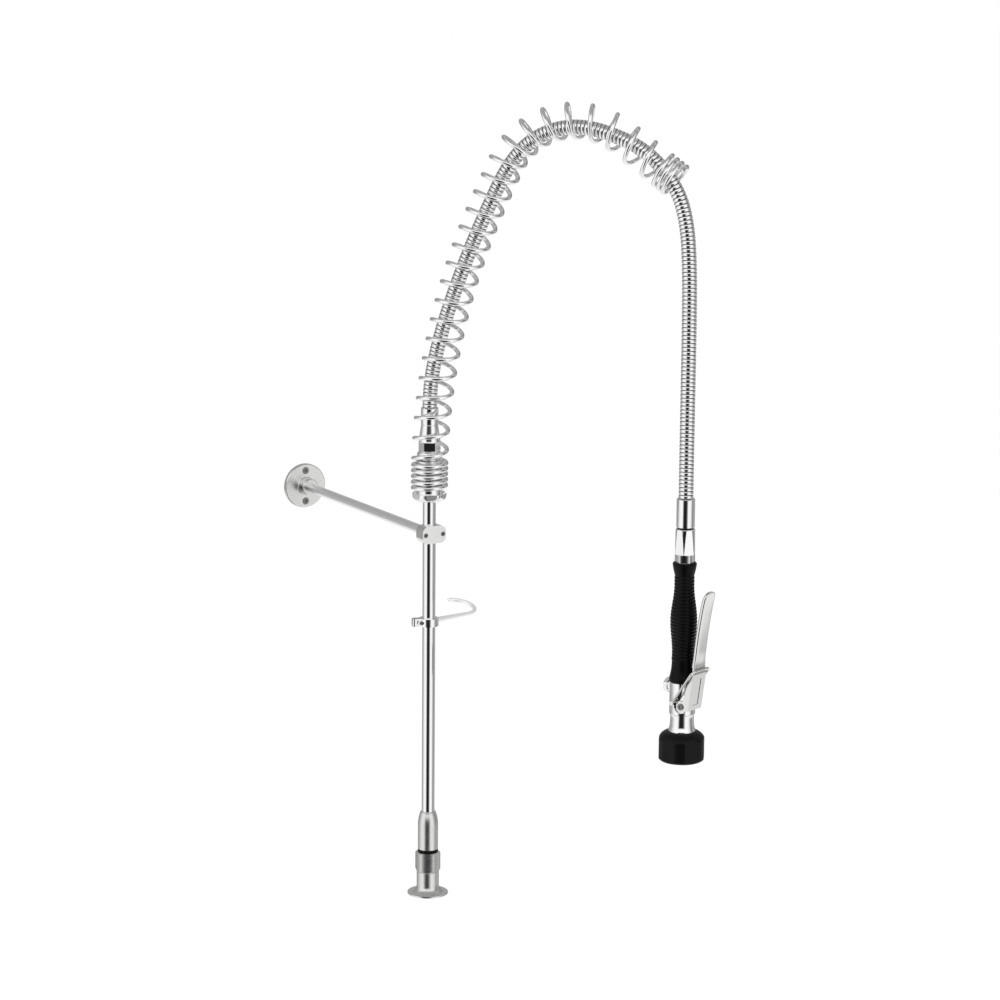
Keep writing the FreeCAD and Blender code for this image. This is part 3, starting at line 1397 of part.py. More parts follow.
def lying(outline):
    """Outline of a piece turned about the valve's bore: (distance along X, radius) pairs."""
    return [(radius, along) for along, radius in outline]


def lay_down(body):
    """Turns a piece drawn about Z so that it lies along X at the height of the valve."""
    body.Placement = GUN.multiply(FreeCAD.Placement(V(0, 0, valve_z.number), FreeCAD.Rotation(V(0, 1, 0), 90)))
    return keep(body)


def make_valve_stem():
    """Turned stem: a rounded tip that the lever pushes, a disc behind the seat, a tail inside the spring."""
    stem = cell("stem_diameter") / 2
    disc = cell("stem_disc_diameter") / 2
    back = disc_x - seat - cell("stem_disc_height")
    return lay_down(turned_piece("valve_stem", lying([
        (back - cell("stem_tail"), 0.0), (back - cell("stem_tail"), stem), (back, stem), (back, disc),
        (disc_x - seat, disc), (disc_x - seat, stem), (stem_tip - 1.0, stem), (stem_tip, stem - 1.0), (stem_tip, 0.0),
    ])))


def make_valve_seal():
    return lay_down(turned_piece("valve_seal", lying([
        (disc_x, guide_r), (disc_x, cell("stem_disc_diameter") / 2), (seat_x - seat, cell("stem_disc_diameter") / 2),
        (seat_x - seat, guide_r),
    ])))


def make_stem_ring():
    low = cell("body_diameter") / 2 - 4.0 + seat
    return lay_down(turned_piece("stem_ring", lying([
        (low, guide_r), (low, cell("stem_ring_diameter") / 2 - running), (low + 2.4, cell("stem_ring_diameter") / 2 - running),
        (low + 2.4, guide_r),
    ])))


def make_valve_spring():
    """Small spring behind the stem's disc: helix on biarcs of half a turn, swept by its wire."""
    wire = sheet.get("valve_wire") / 2
    radius = chamber_r.number - wire - 0.5
    low = -sheet.get("rear_boss_reach") + sheet.get("cap_spigot_length") + wire + 0.3
    high = (disc_x - seat - cell("stem_disc_height")).number - wire - 0.3
    turns = sheet.get("valve_turns")

    def point(turn):
        angle = 2 * math.pi * turn
        return V(low + (high - low) * turn / turns, radius * math.cos(angle), radius * math.sin(angle))

    def direction(turn):
        return (point(turn + 0.001) - point(turn - 0.001)).normalize()

    edges = []
    for number in range(int(turns * 2)):
        first, last = number / 2, (number + 1) / 2
        edges += biarc(point(first), direction(first), point(last), direction(last))
    section = Part.Wire([Part.Circle(point(0), direction(0), wire).toShape()])
    spring = Part.Wire(edges).makePipeShell([section], True, False)
    thing = solid_feature("valve_spring", spring,
                          GUN.multiply(FreeCAD.Placement(V(0, 0, valve_z.number), FreeCAD.Rotation())))
    return keep(thing)


def make_lever():
    """Squeeze lever: a pressed box round the valve body with two pivot cheeks, drawn out into a long flat blade."""
    half = sheet.get("lever_width") / 2
    wall = sheet.get("lever_wall")
    px, pz = sheet.get("pivot_forward"), pivot_z.number
    thick = sheet.get("blade_thickness")
    low = body_bottom.number

    def plate(points, right, left):
        """A flat shape in the lever's side view, thick from right to left across."""
        corners = [V(x, right, z) for x, z in points]
        return Part.Face(Part.makePolygon(corners + corners[:1])).extrude(V(0, left - right, 0))

    foot, top = [V(reach, 0, low + height) for reach, height in LEVER_PLATE]
    rise = (top - foot).normalize()
    out = V(rise.z, 0, -rise.x)
    inner_foot, inner_top = foot - out * wall, top - out * wall
    box = plate([(px - 3.0, pz - 6.0), (foot.x, foot.z), (top.x, top.z), (inner_top.x - 1.0, top.z + 0.6),
                 (px + 11.2, pz + 35.0), (px + 4.2, pz + 10.0)], -half, half)
    behind, under, over = px - 2 * half, foot.z - 2 * half, top.z + half
    hollow = plate([(behind, under), (inner_foot.x, under), (inner_foot.x, inner_foot.z),
                    (inner_top.x, inner_top.z), (inner_top.x, over), (behind, over)], -half + wall, half - wall)
    boss_r = sheet.get("pivot_boss_diameter") / 2
    bosses = Part.makeCylinder(boss_r, 2 * half, V(px, -half, pz), V(0, 1, 0))
    bosses = bosses.cut(Part.makeCylinder(boss_r + 1, 2 * (half - wall), V(px, -half + wall, pz), V(0, 1, 0)))
    bosses = bosses.cut(Part.makeBox(4 * boss_r, 4 * half, 4 * boss_r,
                                     V(inner_foot.x + 0.5, -2 * half, pz - 2 * boss_r)))
    shell = box.cut(hollow).fuse(bosses)
    hole = Part.makeCylinder(sheet.get("pivot_diameter") / 2 + running.number, 2 * half + 2, V(px, -half - 1, pz), V(0, 1, 0))
    shell = shell.cut(hole)
    # the blade: its front line is a smooth row of points, thickened backwards
    front = [V(reach, 0, low + height) for reach, height in LEVER_BLADE]
    ways = [(after - before).normalize() for before, after in zip(front, front[1:])]
    ways = [ways[0]] + [(a + b).normalize() for a, b in zip(ways, ways[1:])] + [ways[-1]]
    back = [point - V(way.z, 0, -way.x) * thick for point, way in zip(front, ways)]
    side = [(p.x, p.z) for p in front] + [(p.x, p.z) for p in reversed(back)]
    width = sheet.get("blade_width") / 2
    strip = plate(side, -width, width)
    # seen from the front the blade narrows from the box and ends in a half round
    tip_z = front[-1].z
    base_z = front[0].z
    outline = [V(-5, -half, base_z - 4), V(-5, half, base_z - 4), V(-5, half, base_z + 4), V(-5, width, base_z + 20),
               V(-5, width, tip_z - width)]
    lower = [V(-5, -p.y, p.z) for p in reversed(outline[2:])]
    tip = Part.Arc(outline[-1], V(-5, 0, tip_z), lower[0]).toShape()
    edges = [Part.makeLine(a, b) for a, b in zip(outline, outline[1:])] + [tip]
    edges += [Part.makeLine(a, b) for a, b in zip(lower, lower[1:])] + [Part.makeLine(lower[-1], outline[0])]
    mask = Part.Face(Part.Wire(edges)).extrude(V(front[-1].x * 2, 0, 0))
    wide = plate(side, -half, half).common(mask)
    # the bare label recess in the front plate
    middle = (foot + top) * 0.5
    tag = Part.makeBox(sheet.get("label_recess"), sheet.get("label_width"), sheet.get("label_height"),
                       V(-sheet.get("label_recess"), -sheet.get("label_width") / 2, -sheet.get("label_height") / 2))
    tag.Placement = FreeCAD.Placement(middle, FreeCAD.Rotation(V(0, 1, 0), math.degrees(math.atan2(rise.x, rise.z)))).multiply(
        tag.Placement)
    lever = shell.fuse(wide).cut(tag).removeSplitter()
    return keep(solid_feature("lever", lever, GUN))


# Front line of the lever in its own side view: reach and height over the body's foot, of the box, then of the blade
LEVER_PLATE = [(20.6, 8.45), (28.3, 59.85)]
LEVER_BLADE = [(27.4, 53.85), (28.3, 59.85), (29.2, 77.85), (33.3, 111.85), (37.5, 137.85), (42.8, 163.85), (47.2, 175.85)]


def make_pivot_screws():
    """Two shouldered screws on which the lever turns, one from each side, kept as one group of solids."""
    half = sheet.get("lever_width") / 2
    reach = sheet.get("cheek_seat") / 2 - 3.6
    pair = []
    for side in (-1, 1):
        pivot = sheet.get("pivot_diameter") / 2
        screw = screw_solid(pivot, pivot + 1.6, 1.0, half + 1.3 - reach, 3.2)
        screw.rotate(V(), V(1, 0, 0), -90 * side)
        screw.translate(V(sheet.get("pivot_forward"), side * (half + 1.3), pivot_z.number))
        pair.append(screw)
    return keep(solid_feature("pivot_screws", Part.makeCompound(pair), GUN))


def make_bail():
    """Wire bail that latches the lever: two eyes at the body's sides, two legs and a front bar."""
    wire = sheet.get("bail_wire") / 2
    half = sheet.get("bail_spread") / 2 - wire
    bx, bz = sheet.get("bail_back"), body_bottom.number + sheet.get("bail_height")
    fx, fz = sheet.get("bail_front"), body_bottom.number + sheet.get("bail_top")
    lead = V(fx - bx, 0, fz - bz).normalize()
    corner = 7.0
    across = V(0, 1, 0)
    left_far = V(fx, half, fz)
    soft = math.sqrt(0.5)

    def bend(point, inward, way_back):
        """Quarter circle from the leg into the front bar."""
        centre = point - way_back * corner - inward * corner
        return Part.Arc(point - way_back * corner, centre + (way_back + inward) * corner * soft, point - inward * corner)

    right_far = V(fx, -half, fz)
    edges = [
        Part.makeLine(V(bx, half, bz), left_far - lead * corner), bend(left_far, across, lead).toShape(),
        Part.makeLine(left_far - across * corner, right_far + across * corner),
        Part.Arc(right_far + across * corner,
                 right_far - lead * corner + across * corner + (lead - across) * corner * soft,
                 right_far - lead * corner).toShape(),
        Part.makeLine(right_far - lead * corner, V(bx, -half, bz)),
    ]
    section = Part.Wire([Part.Circle(V(bx, half, bz), lead, wire).toShape()])
    loop = Part.Wire(edges).makePipeShell([section], True, False)
    for side in (-1, 1):
        eye = Part.makeCylinder(wire * 1.9, wire * 2, V(bx, side * half - wire, bz), V(0, 1, 0))
        start = sheet.get("bail_pin_depth")
        pin = Part.makeCylinder(wire * 0.9, half - start, V(bx, side * start, bz), V(0, side, 0))
        loop = loop.fuse(eye).fuse(pin)
    return keep(solid_feature("bail", loop.removeSplitter(), GUN))


body_drum = cell("body_diameter") / 2


def make_spray_bell():
    """Turned bell below the valve body: a waist, a flared foot, the spigot up into the body."""
    drum = cell("bell_top_diameter") / 2
    waist, foot = cell("bell_waist_diameter") / 2, cell("bell_foot_diameter") / 2
    inner = handle_bore
    spigot = cell("spray_spigot_diameter") / 2
    high = bell_top + cell("spray_spigot_height")
    tail = bell_bottom - cell("bell_tail_height")
    tail_r = cell("bell_tail_diameter") / 2
    return on_gun(turned_piece("spray_bell", [
        (inner, high), (spigot, high), (spigot, bell_top), (drum, bell_top),
        ("through", waist, bell_top - 6.0), (waist + 0.3, bell_top - 11.0),
        ("through", waist + 1.0, bell_bottom + 5.6), (foot, bell_bottom + 1.2), (foot, bell_bottom),
        (tail_r, bell_bottom), (tail_r, tail), (inner, tail),
    ]))


def make_bumper():
    """Moulded rubber bumper: a hexagon with soft corners, a cone up to the bell, a wide mouth below."""
    low = bumper_bottom
    side_low = low + cell("bumper_foot_edge")
    side_high = bell_bottom - cell("bumper_shoulder")
    body = new_body("spray_bumper")
    soft = cell("bumper_flats") / 2 / math.cos(math.radians(30))
    sketch = outline_sketch(body, "Hexagon", hexagon(cell("bumper_flats"), sheet.get("bumper_turn")), "XY_Plane", low)
    pad(body, sketch, bell_bottom - seat - low)
    doc.recompute()
    trim = circle_sketch(body, "CornerTrim", [(0.0, 0.0)], (soft + 20.0) * 2, "XY_Plane", low - 1.0)
    round_r = soft - cell("bumper_corner")
    index = trim.addGeometry(Part.Circle(V(), V(0, 0, 1), round_r.number), False)
    trim.addConstraint(Sketcher.Constraint("Coincident", index, 3, -1, 1))
    bound = trim.addConstraint(Sketcher.Constraint("Radius", index, round_r.number))
    trim.setExpression(f"Constraints[{bound}]", round_r.text)
    pocket(body, trim, cell("bumper_height") + 10.0, backwards=True)
    doc.recompute()
    top_r = cell("bumper_top_diameter") / 2
    groove(body, [
        (top_r, bell_bottom + 2.0), (soft + 2.0, bell_bottom + 2.0), (soft + 2.0, side_high), (round_r + 0.4, side_high),
        ("through", (top_r + round_r) / 2 + 2.6, (side_high + bell_bottom) / 2 + 1.4), (top_r, bell_bottom - seat),
    ], "Shoulder")
    doc.recompute()
    mouth = cell("bumper_mouth_diameter") / 2
    groove(body, [
        (mouth + 1.6, low - 2.0), (soft + 2.0, low - 2.0), (soft + 2.0, side_low), (round_r + 0.4, side_low),
        ("through", (mouth + round_r) / 2 + 2.4, low + (side_low - low) * 0.22), (mouth + 1.6, low),
    ], "FootEdge")
    doc.recompute()
    shelf = low + cell("bumper_mouth_depth")
    plate_top = shelf
    cavity = plate_top + cell("plate_gap")
    tail_r = cell("bell_tail_diameter") / 2 + running
    groove(body, [
        (0.0, low - 1.0), (mouth, low - 1.0), (mouth, cavity), (tail_r, cavity), (tail_r, bell_bottom + 1.0),
        (0.0, bell_bottom + 1.0),
    ], "Mouth")
    return on_gun(body)


def make_spray_plate():
    """Drilled plate in the bumper's mouth: a ring of jets round one in the middle."""
    body = new_body("spray_plate")
    top = bumper_bottom + cell("bumper_mouth_depth")
    low = top - cell("plate_thickness")
    sketch = circle_sketch(body, "Disc", [(0.0, 0.0)], cell("plate_diameter"), "XY_Plane", low)
    pad(body, sketch, cell("plate_thickness"))
    doc.recompute()
    jet = circle_sketch(body, "Jet", [(cell("jet_circle") / 2, 0.0)], cell("jet_diameter"), "XY_Plane", low - 1.0)
    hole = pocket(body, jet, cell("plate_thickness") + 2.0, backwards=True)
    doc.recompute()
    ring = body.newObject("PartDesign::PolarPattern", "Jets")
    ring.Originals = [hole]
    ring.Axis = (jet, ["N_Axis"])
    ring.Angle = 360
    ring.Occurrences = int(sheet.get("jet_count"))
    ring.setExpression("Occurrences", "Sizes.jet_count")
    body.Tip = ring
    doc.recompute()
    middle = circle_sketch(body, "MiddleJet", [(0.0, 0.0)], cell("jet_diameter"), "XY_Plane", low - 1.0)
    pocket(body, middle, cell("plate_thickness") + 2.0, backwards=True)
    return on_gun(body)


MAKERS = [
    make_foot, make_riser_rings, make_base_nut, make_base_gasket, make_sleeve, make_cap, make_riser,
    make_bracket_front, make_bracket_rear, make_bracket_screws, make_arm, make_wall_flange, make_grub_screw,
    make_wall_screws, make_hook_clamp, make_hook_screw, make_hook_rod, make_spring_holder, make_nipple,
    make_union_nut, make_union_washer, make_upper_ferrule, make_spring, make_hose, make_lower_ferrule,
    make_swivel_seal, make_gun_nut, make_gun_washer, make_handle_tube, make_grip, make_valve_body, make_rear_cap,
    make_valve_stem, make_valve_seal, make_stem_ring, make_valve_spring, make_lever, make_pivot_screws, make_bail,
    make_spray_bell, make_bumper, make_spray_plate,
]

for make in MAKERS:
    make()
    doc.recompute()

faults = []
for thing in doc.Objects:
    if "Invalid" in thing.State or "Error" in thing.State:
        faults.append(f"{thing.Label}: {thing.State}")
for piece in pieces:
    if piece.Shape.isNull() or not piece.Shape.isValid() or not piece.Shape.Solids:
        faults.append(f"{piece.Label}: not a valid solid")
for fault in faults:
    print("FAULT", fault)
if faults:
    raise SystemExit(1)

os.makedirs("parts", exist_ok=True)
for piece in pieces:
    piece.Shape.exportStep(f"parts/{piece.Label}.step")
    box = piece.Shape.BoundBox
    print(f"{piece.Label}: solids {len(piece.Shape.Solids)}, volume {piece.Shape.Volume:.0f}, "
          f"z {box.ZMin:.1f} to {box.ZMax:.1f}")
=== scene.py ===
# %% [markdown]
# Pre rinse faucet
#
# A sink faucet with a tall riser, a sprung gooseneck and a spray gun. Its pieces come in as solids with
# their real sizes. This scene adds what they don't show: the finish of each metal, the close ribs of the
# hose, the rolled edges of the gun's lever, and the studio that polished metal needs to look like metal.

import json
import math

import bmesh
import bpy
from mathutils import Matrix, Vector


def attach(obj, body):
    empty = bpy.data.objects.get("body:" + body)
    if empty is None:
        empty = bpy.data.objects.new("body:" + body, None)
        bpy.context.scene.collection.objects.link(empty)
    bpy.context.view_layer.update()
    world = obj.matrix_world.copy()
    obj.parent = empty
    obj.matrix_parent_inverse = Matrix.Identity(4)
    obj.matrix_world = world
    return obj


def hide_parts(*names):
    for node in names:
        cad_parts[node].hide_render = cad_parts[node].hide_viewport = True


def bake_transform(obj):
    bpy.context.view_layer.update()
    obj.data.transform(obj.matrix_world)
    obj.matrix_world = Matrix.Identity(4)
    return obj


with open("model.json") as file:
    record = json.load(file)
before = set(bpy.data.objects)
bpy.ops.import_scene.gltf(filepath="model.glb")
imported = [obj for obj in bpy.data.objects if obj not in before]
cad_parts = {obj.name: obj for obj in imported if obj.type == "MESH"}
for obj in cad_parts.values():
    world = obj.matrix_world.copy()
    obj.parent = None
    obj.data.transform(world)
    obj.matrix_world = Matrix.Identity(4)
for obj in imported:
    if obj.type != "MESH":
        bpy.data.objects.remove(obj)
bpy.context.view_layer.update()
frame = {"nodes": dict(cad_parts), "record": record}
nodes = frame["nodes"]
print("solids loaded:", len(nodes))

# %% [markdown]
# Camera
#
# The photograph was taken from far away with a long lens, a little above the middle of the riser. The faucet
# is turned about its riser, so that the wall arm runs away to the left and the gooseneck comes forward to the
# right. A camera could be placed by eye. Here it is matched on the riser, the arm and the gun instead, which
# gives the turn, the tilt and the small roll below. It is described in an upright frame of its own and then
# turned into that of the object.

# %% Camera
VIEW_TURN = math.radians(-30.4)
PITCH = math.radians(11.7)
ROLL = math.radians(0.462)
CAMERA_PLACE = Vector((0.0975, -5.1341, 1.6294))
FOCAL_LENGTH = 136.8
SENSOR_WIDTH = 36.0
FAR_LIMIT = 60.0


def view_to_object(vector):
    """Turns a vector of the camera's upright frame (X right, Y away) into the frame of the object."""
    return Matrix.Rotation(VIEW_TURN, 3, "Z") @ Vector(vector)


def add_camera():
    data = bpy.data.cameras.new("camera")
    data.lens = FOCAL_LENGTH
    data.sensor_width = SENSOR_WIDTH
    data.clip_end = FAR_LIMIT
    camera = bpy.data.objects.new("camera", data)
    bpy.context.scene.collection.objects.link(camera)
    right = view_to_object((1, 0, 0))
    forward = view_to_object((0, math.cos(PITCH), -math.sin(PITCH)))
    up = right.cross(forward)
    rolled_right = right * math.cos(ROLL) + up * math.sin(ROLL)
    rolled_up = up * math.cos(ROLL) - right * math.sin(ROLL)
    turn = Matrix((rolled_right, rolled_up, -forward)).transposed()
    camera.matrix_world = Matrix.Translation(view_to_object(CAMERA_PLACE)) @ turn.to_4x4()
    bpy.context.scene.camera = camera
    print("camera at", [round(x, 3) for x in camera.matrix_world.translation])


add_camera()

# %% [markdown]
# Plane of the gooseneck
#
# Spring, hose and gun stand in one upright plane. Two numbers, the reach from the riser and the height, are
# enough to say where something is in it. The gun hangs on an upright axis at one reach, and its lever faces a
# little further round.

# %% Plane of the gooseneck
HEADING = math.radians(-50.4)
GUN_REACH = 0.37
LEVER_DEGREES = -70.4


def on_gooseneck(reach, height):
    """A point in the upright plane of the gooseneck, in the frame of the object."""
    return Vector((reach * math.cos(HEADING), reach * math.sin(HEADING), height))


print("axis of the gun at", [round(x, 4) for x in on_gooseneck(GUN_REACH, 0.0)])

# %% [markdown]
# Node helpers
#
# Materials, world and geometry are all trees of nodes. Written out one link at a time they are hard to read,
# so a few helpers say it shorter. An input gets either a plain value or the output of another node.

# %% Node helpers


def feed(tree, value, socket):
    """Links the output of another node to the socket, or gives the socket a plain value."""
    if isinstance(value, bpy.types.NodeSocket):
        tree.links.new(value, socket)
    else:
        socket.default_value = value


def add_node(tree, kind, feeds=None, **settings):
    """Adds a node with its own settings and then with what feeds its inputs, by name or by number."""
    node = tree.nodes.new(kind)
    for name, value in settings.items():
        setattr(node, name, value)
    for name, value in (feeds or {}).items():
        feed(tree, value, node.inputs[name])
    return node


def math_node(tree, operation, *values):
    node = add_node(tree, "ShaderNodeMath", dict(enumerate(values)), operation=operation)
    return node.outputs[0]


def ramp_node(tree, factor, stops):
    """A grey for each place from 0 to 1. The stops are (place, grey)."""
    node = add_node(tree, "ShaderNodeValToRGB", {0: factor})
    ramp = node.color_ramp.elements
    while len(ramp) < len(stops):
        ramp.new(0.5)
    for element, (place, level) in zip(ramp, stops):
        element.position = place
        element.color = (level, level, level, 1.0)
    return node.outputs[0]


# %% [markdown]
# Studio: what the metal mirrors
#
# Polished tube looks black and white in a catalogue photograph because it mirrors white walls at its sides
# and a dark gap between them in its middle. Real cards and lamps would do it, but each needs a place in the
# room. The world can hold the same picture with a few grey ramps: one round the room, one from the floor to
# the ceiling, and the dark gap on the side where the camera stood. It is fixed in space, so a piece that
# turns mirrors another part of it.

# %% Brightness of the room
# round the room at eye level: from behind the object at 0, over the left to the camera at 0.5, and back over
# the right
WALLS = [
    (0.0, 0.42), (0.12, 0.3), (0.2, 0.42), (0.27, 0.88), (0.33, 1.0), (0.64, 1.0),
    (0.69, 0.8), (0.74, 0.3), (0.78, 0.16), (0.84, 0.5), (0.9, 0.22), (1.0, 0.42),
]
# how much of the walls is seen at each height, from straight below at 0 to straight above at 1
WALL_REACH = [(0.355, 0.0), (0.385, 0.7), (0.4, 0.93), (0.44, 0.98), (0.47, 1.0), (0.72, 1.0), (0.8, 0.0)]
# what is seen instead of the walls: pale floor, white above it, grey ceiling
FLOOR_TO_CEILING = [
    (0.0, 0.8), (0.3, 0.92), (0.5, 1.0), (0.64, 1.0), (0.74, 0.75), (0.82, 0.3), (0.9, 0.34), (1.0, 0.42),
]
# how dark the gap is round the room, and between which heights it stands
GAP = [(0.38, 0.0), (0.41, 0.7), (0.43, 0.98), (0.5, 0.99), (0.535, 0.94), (0.56, 0.55), (0.585, 0.0)]
GAP_REACH = [(0.05, 0.0), (0.1, 0.9), (0.27, 1.0), (0.53, 1.0), (0.58, 0.0)]
print("least brightness of the walls:", min(level for place, level in WALLS))

# %% Level in each direction


def room_level(tree):
    """The brightness that a mirror sees in each direction."""
    place = add_node(tree, "ShaderNodeTexCoord")
    turn = add_node(tree, "ShaderNodeMapping", {
        "Vector": place.outputs["Generated"], "Rotation": (0.0, 0.0, -VIEW_TURN),
    }, vector_type="VECTOR")
    x, y, z = add_node(tree, "ShaderNodeSeparateXYZ", {0: turn.outputs[0]}).outputs
    # the bearing is 0 towards the camera and half a turn, to the right or to the left, away from it
    bearing = math_node(tree, "ARCTAN2", x, math_node(tree, "MULTIPLY", y, -1.0))
    right_side = math_node(tree, "MULTIPLY", bearing, 1.0 / math.pi)
    around = math_node(tree, "MULTIPLY_ADD", right_side, 0.5, 0.5)
    height = math_node(tree, "MULTIPLY_ADD", math_node(tree, "ARCSINE", z), 1.0 / math.pi, 0.5)
    reach = ramp_node(tree, height, WALL_REACH)
    walls = math_node(tree, "MULTIPLY", ramp_node(tree, around, WALLS), reach)
    beyond = math_node(tree, "SUBTRACT", 1.0, reach)
    open_room = math_node(tree, "MULTIPLY_ADD", ramp_node(tree, height, FLOOR_TO_CEILING), beyond, walls)
    gap = math_node(tree, "MULTIPLY", ramp_node(tree, around, GAP), ramp_node(tree, height, GAP_REACH))
    return math_node(tree, "MULTIPLY", open_room, math_node(tree, "SUBTRACT", 1.0, gap))


# %% World
WHITE = (1.0, 1.0, 1.0, 1.0)
SOFT_LIGHT = 0.8


def build_world():
    """Mirrors see the room, dull surfaces get an even soft light, and the camera sees plain white."""
    world = bpy.data.worlds.new("studio")
    bpy.context.scene.world = world
    world.use_nodes = True
    tree = world.node_tree
    tree.nodes.clear()
    mirrored = add_node(tree, "ShaderNodeBackground", {"Color": room_level(tree), "Strength": 1.0})
    soft = add_node(tree, "ShaderNodeBackground", {"Color": WHITE, "Strength": SOFT_LIGHT})
    plain = add_node(tree, "ShaderNodeBackground", {"Color": WHITE, "Strength": 1.0})
    path = add_node(tree, "ShaderNodeLightPath")
    bounced = add_node(tree, "ShaderNodeMixShader", {
        0: path.outputs["Is Glossy Ray"], 1: soft.outputs[0], 2: mirrored.outputs[0],
    })
    seen = add_node(tree, "ShaderNodeMixShader", {
        0: path.outputs["Is Camera Ray"], 1: bounced.outputs[0], 2: plain.outputs[0],
    })
    add_node(tree, "ShaderNodeOutputWorld", {"Surface": seen.outputs[0]})
    print("nodes of the world:", len(tree.nodes))


build_world()

# %% [markdown]
# Studio: floor
#
# The ground is white, with only a faint shade at the foot. A floor that only glows would lose the shade, and
# a matt one would turn grey. So the floor mixes a little matt white into a white glow. The metal doesn't
# mirror it, because the world already holds a floor.

# %% Floor
FLOOR_HALF = 12.0
FLOOR_DROP = 0.0005
FLOOR_PAINT = (0.9, 0.9, 0.9, 1.0)
FLOOR_GLOW = 1.04
GLOW_SHARE = 0.9


def floor_material():
    material = bpy.data.materials.new("floor")
    material.use_nodes = True
    tree = material.node_tree
    tree.nodes.clear()
    matt = add_node(tree, "ShaderNodeBsdfDiffuse", {"Color": FLOOR_PAINT})
    glow = add_node(tree, "ShaderNodeEmission", {"Color": WHITE, "Strength": FLOOR_GLOW})
    mix = add_node(tree, "ShaderNodeMixShader", {0: GLOW_SHARE, 1: matt.outputs[0], 2: glow.outputs[0]})
    add_node(tree, "ShaderNodeOutputMaterial", {"Surface": mix.outputs[0]})
    return material


def add_floor():
    mesh = bpy.data.meshes.new("floor")
    corners = [(-1, -1), (1, -1), (1, 1), (-1, 1)]
    mesh.from_pydata([(x * FLOOR_HALF, y * FLOOR_HALF, 0) for x, y in corners], [], [(0, 1, 2, 3)])
    mesh.materials.append(floor_material())
    floor = bpy.data.objects.new("floor", mesh)
    bpy.context.scene.collection.objects.link(floor)
    floor.location.z = -FLOOR_DROP
    floor.visible_glossy = False
    print("floor:", 2 * FLOOR_HALF, "m wide")


add_floor()

# %% [markdown]
# Studio: lamps
#
# Metal is lit by what it mirrors, but the rubber of the grip and the bumper needs lamps to show its form. Two
# large soft ones are enough, a stronger one over the left and a weaker one at the right. Both are hidden from
# mirrors, because a square lamp would draw a hard white patch on every tube.

# %% Lamps
LAMP_AIM = Vector((0.0, 0.0, 0.55))


def add_lamp(name, place, size, power):
    data = bpy.data.lights.new(name, "AREA")
    data.shape = "RECTANGLE"
    data.size, data.size_y = size
    data.energy = power
    lamp = bpy.data.objects.new(name, data)
    bpy.context.scene.collection.objects.link(lamp)
    lamp.location = view_to_object(place)
    lamp.rotation_euler = (LAMP_AIM - lamp.location).to_track_quat("-Z", "Y").to_euler()
    lamp.visible_glossy = False
    lamp.visible_camera = False
    print("lamp", name, "of", power, "W")


add_lamp("key", (-2.6, -2.4, 2.8), (1.6, 1.6), 60.0)
add_lamp("fill", (2.8, -1.6, 1.6), (1.4, 2.0), 30.0)

# %% [markdown]
# Shared surface effects
#
# Some marks come back on many pieces: wipe marks on polished metal, the fine lines of a lathe or a brush, the
# grain of moulded rubber, the rounding of buffed facets. Each could be built into every material, but then a
# change would have to be made many times. Here each is a node group that takes a place on the piece and a few
# plain values, and gives back only numbers: a height and mostly a roughness. The shaders stay outside.

# %% Helpers for the effects
FLOAT = "NodeSocketFloat"
VECTOR = "NodeSocketVector"
# the middle of a noise, which is nearly all that it uses of 0 to 1
NOISE_LOW = 0.3
NOISE_HIGH = 0.7


def effect_group(name, numbers, outputs, vectors=()):
    """An empty effect. It takes a place and, each with a default, vectors and plain numbers."""
    group = bpy.data.node_groups.new(name, "ShaderNodeTree")
    group.interface.new_socket("Place", in_out="INPUT", socket_type=VECTOR)
    for kind, defaults in ((VECTOR, vectors), (FLOAT, numbers)):
        for label, value in defaults:
            socket = group.interface.new_socket(label, in_out="INPUT", socket_type=kind)
            socket.default_value = value
    for label in outputs:
        group.interface.new_socket(label, in_out="OUTPUT", socket_type=FLOAT)
    print("effect:", name)
    return group, group.nodes.new("NodeGroupInput").outputs, group.nodes.new("NodeGroupOutput").inputs


def noise_node(tree, place, scale, detail=4.0):
    feeds = {"Vector": place, "Scale": scale, "Detail": detail}
    return add_node(tree, "ShaderNodeTexNoise", feeds).outputs["Fac"]


def spread_node(tree, value, low, high):
    """Spreads the middle of a noise over the range from low to high."""
    return add_node(tree, "ShaderNodeMapRange", {
        "Value": value, "From Min": NOISE_LOW, "From Max": NOISE_HIGH, "To Min": low, "To Max": high,
    }).outputs[0]


def stretched(tree, place, stretch):
    """The place scaled by a vector, so that a noise turns into lines."""
    return add_node(tree, "ShaderNodeVectorMath", {0: place, 1: stretch}, operation="MULTIPLY").outputs[0]


# %% [markdown]
# Wipe marks
#
# A polished tube is never evenly smooth: hands and cloths leave long soft smears on it. A scratched image
# could be wrapped round each tube, but a noise drawn out along the height needs no image and no unwrapping.
# It moves the roughness between two low values, and a second noise gives a faint unevenness to the surface.

# %% Wipe marks
WIPE_STRETCH = (1.0, 1.0, 0.25)
WIPE_SCALE = 24.0
UNEVEN_SCALE = 60.0


def wipe_marks_group():
    group, given, out = effect_group(
        "wipe marks", [("Smooth", 0.03), ("Smeared", 0.09)], ["Roughness", "Height"])
    smears = noise_node(group, stretched(group, given["Place"], WIPE_STRETCH), WIPE_SCALE)
    feed(group, spread_node(group, smears, given["Smooth"], given["Smeared"]), out["Roughness"])
    feed(group, noise_node(group, given["Place"], UNEVEN_SCALE), out["Height"])
    return group


WIPE_MARKS = wipe_marks_group()

# %% [markdown]
# Tool lines
#
# Turned and brushed steel carries fine lines. The lathe leaves rings round its axis, which is upright on most
# pieces here. A noise that is squeezed forty times along the height turns into such rings, and one that isn't
# squeezed stays an even speckle, as on a screw. So the squeeze is an input of the effect.

# %% Tool lines
LINE_DETAIL = 3.0


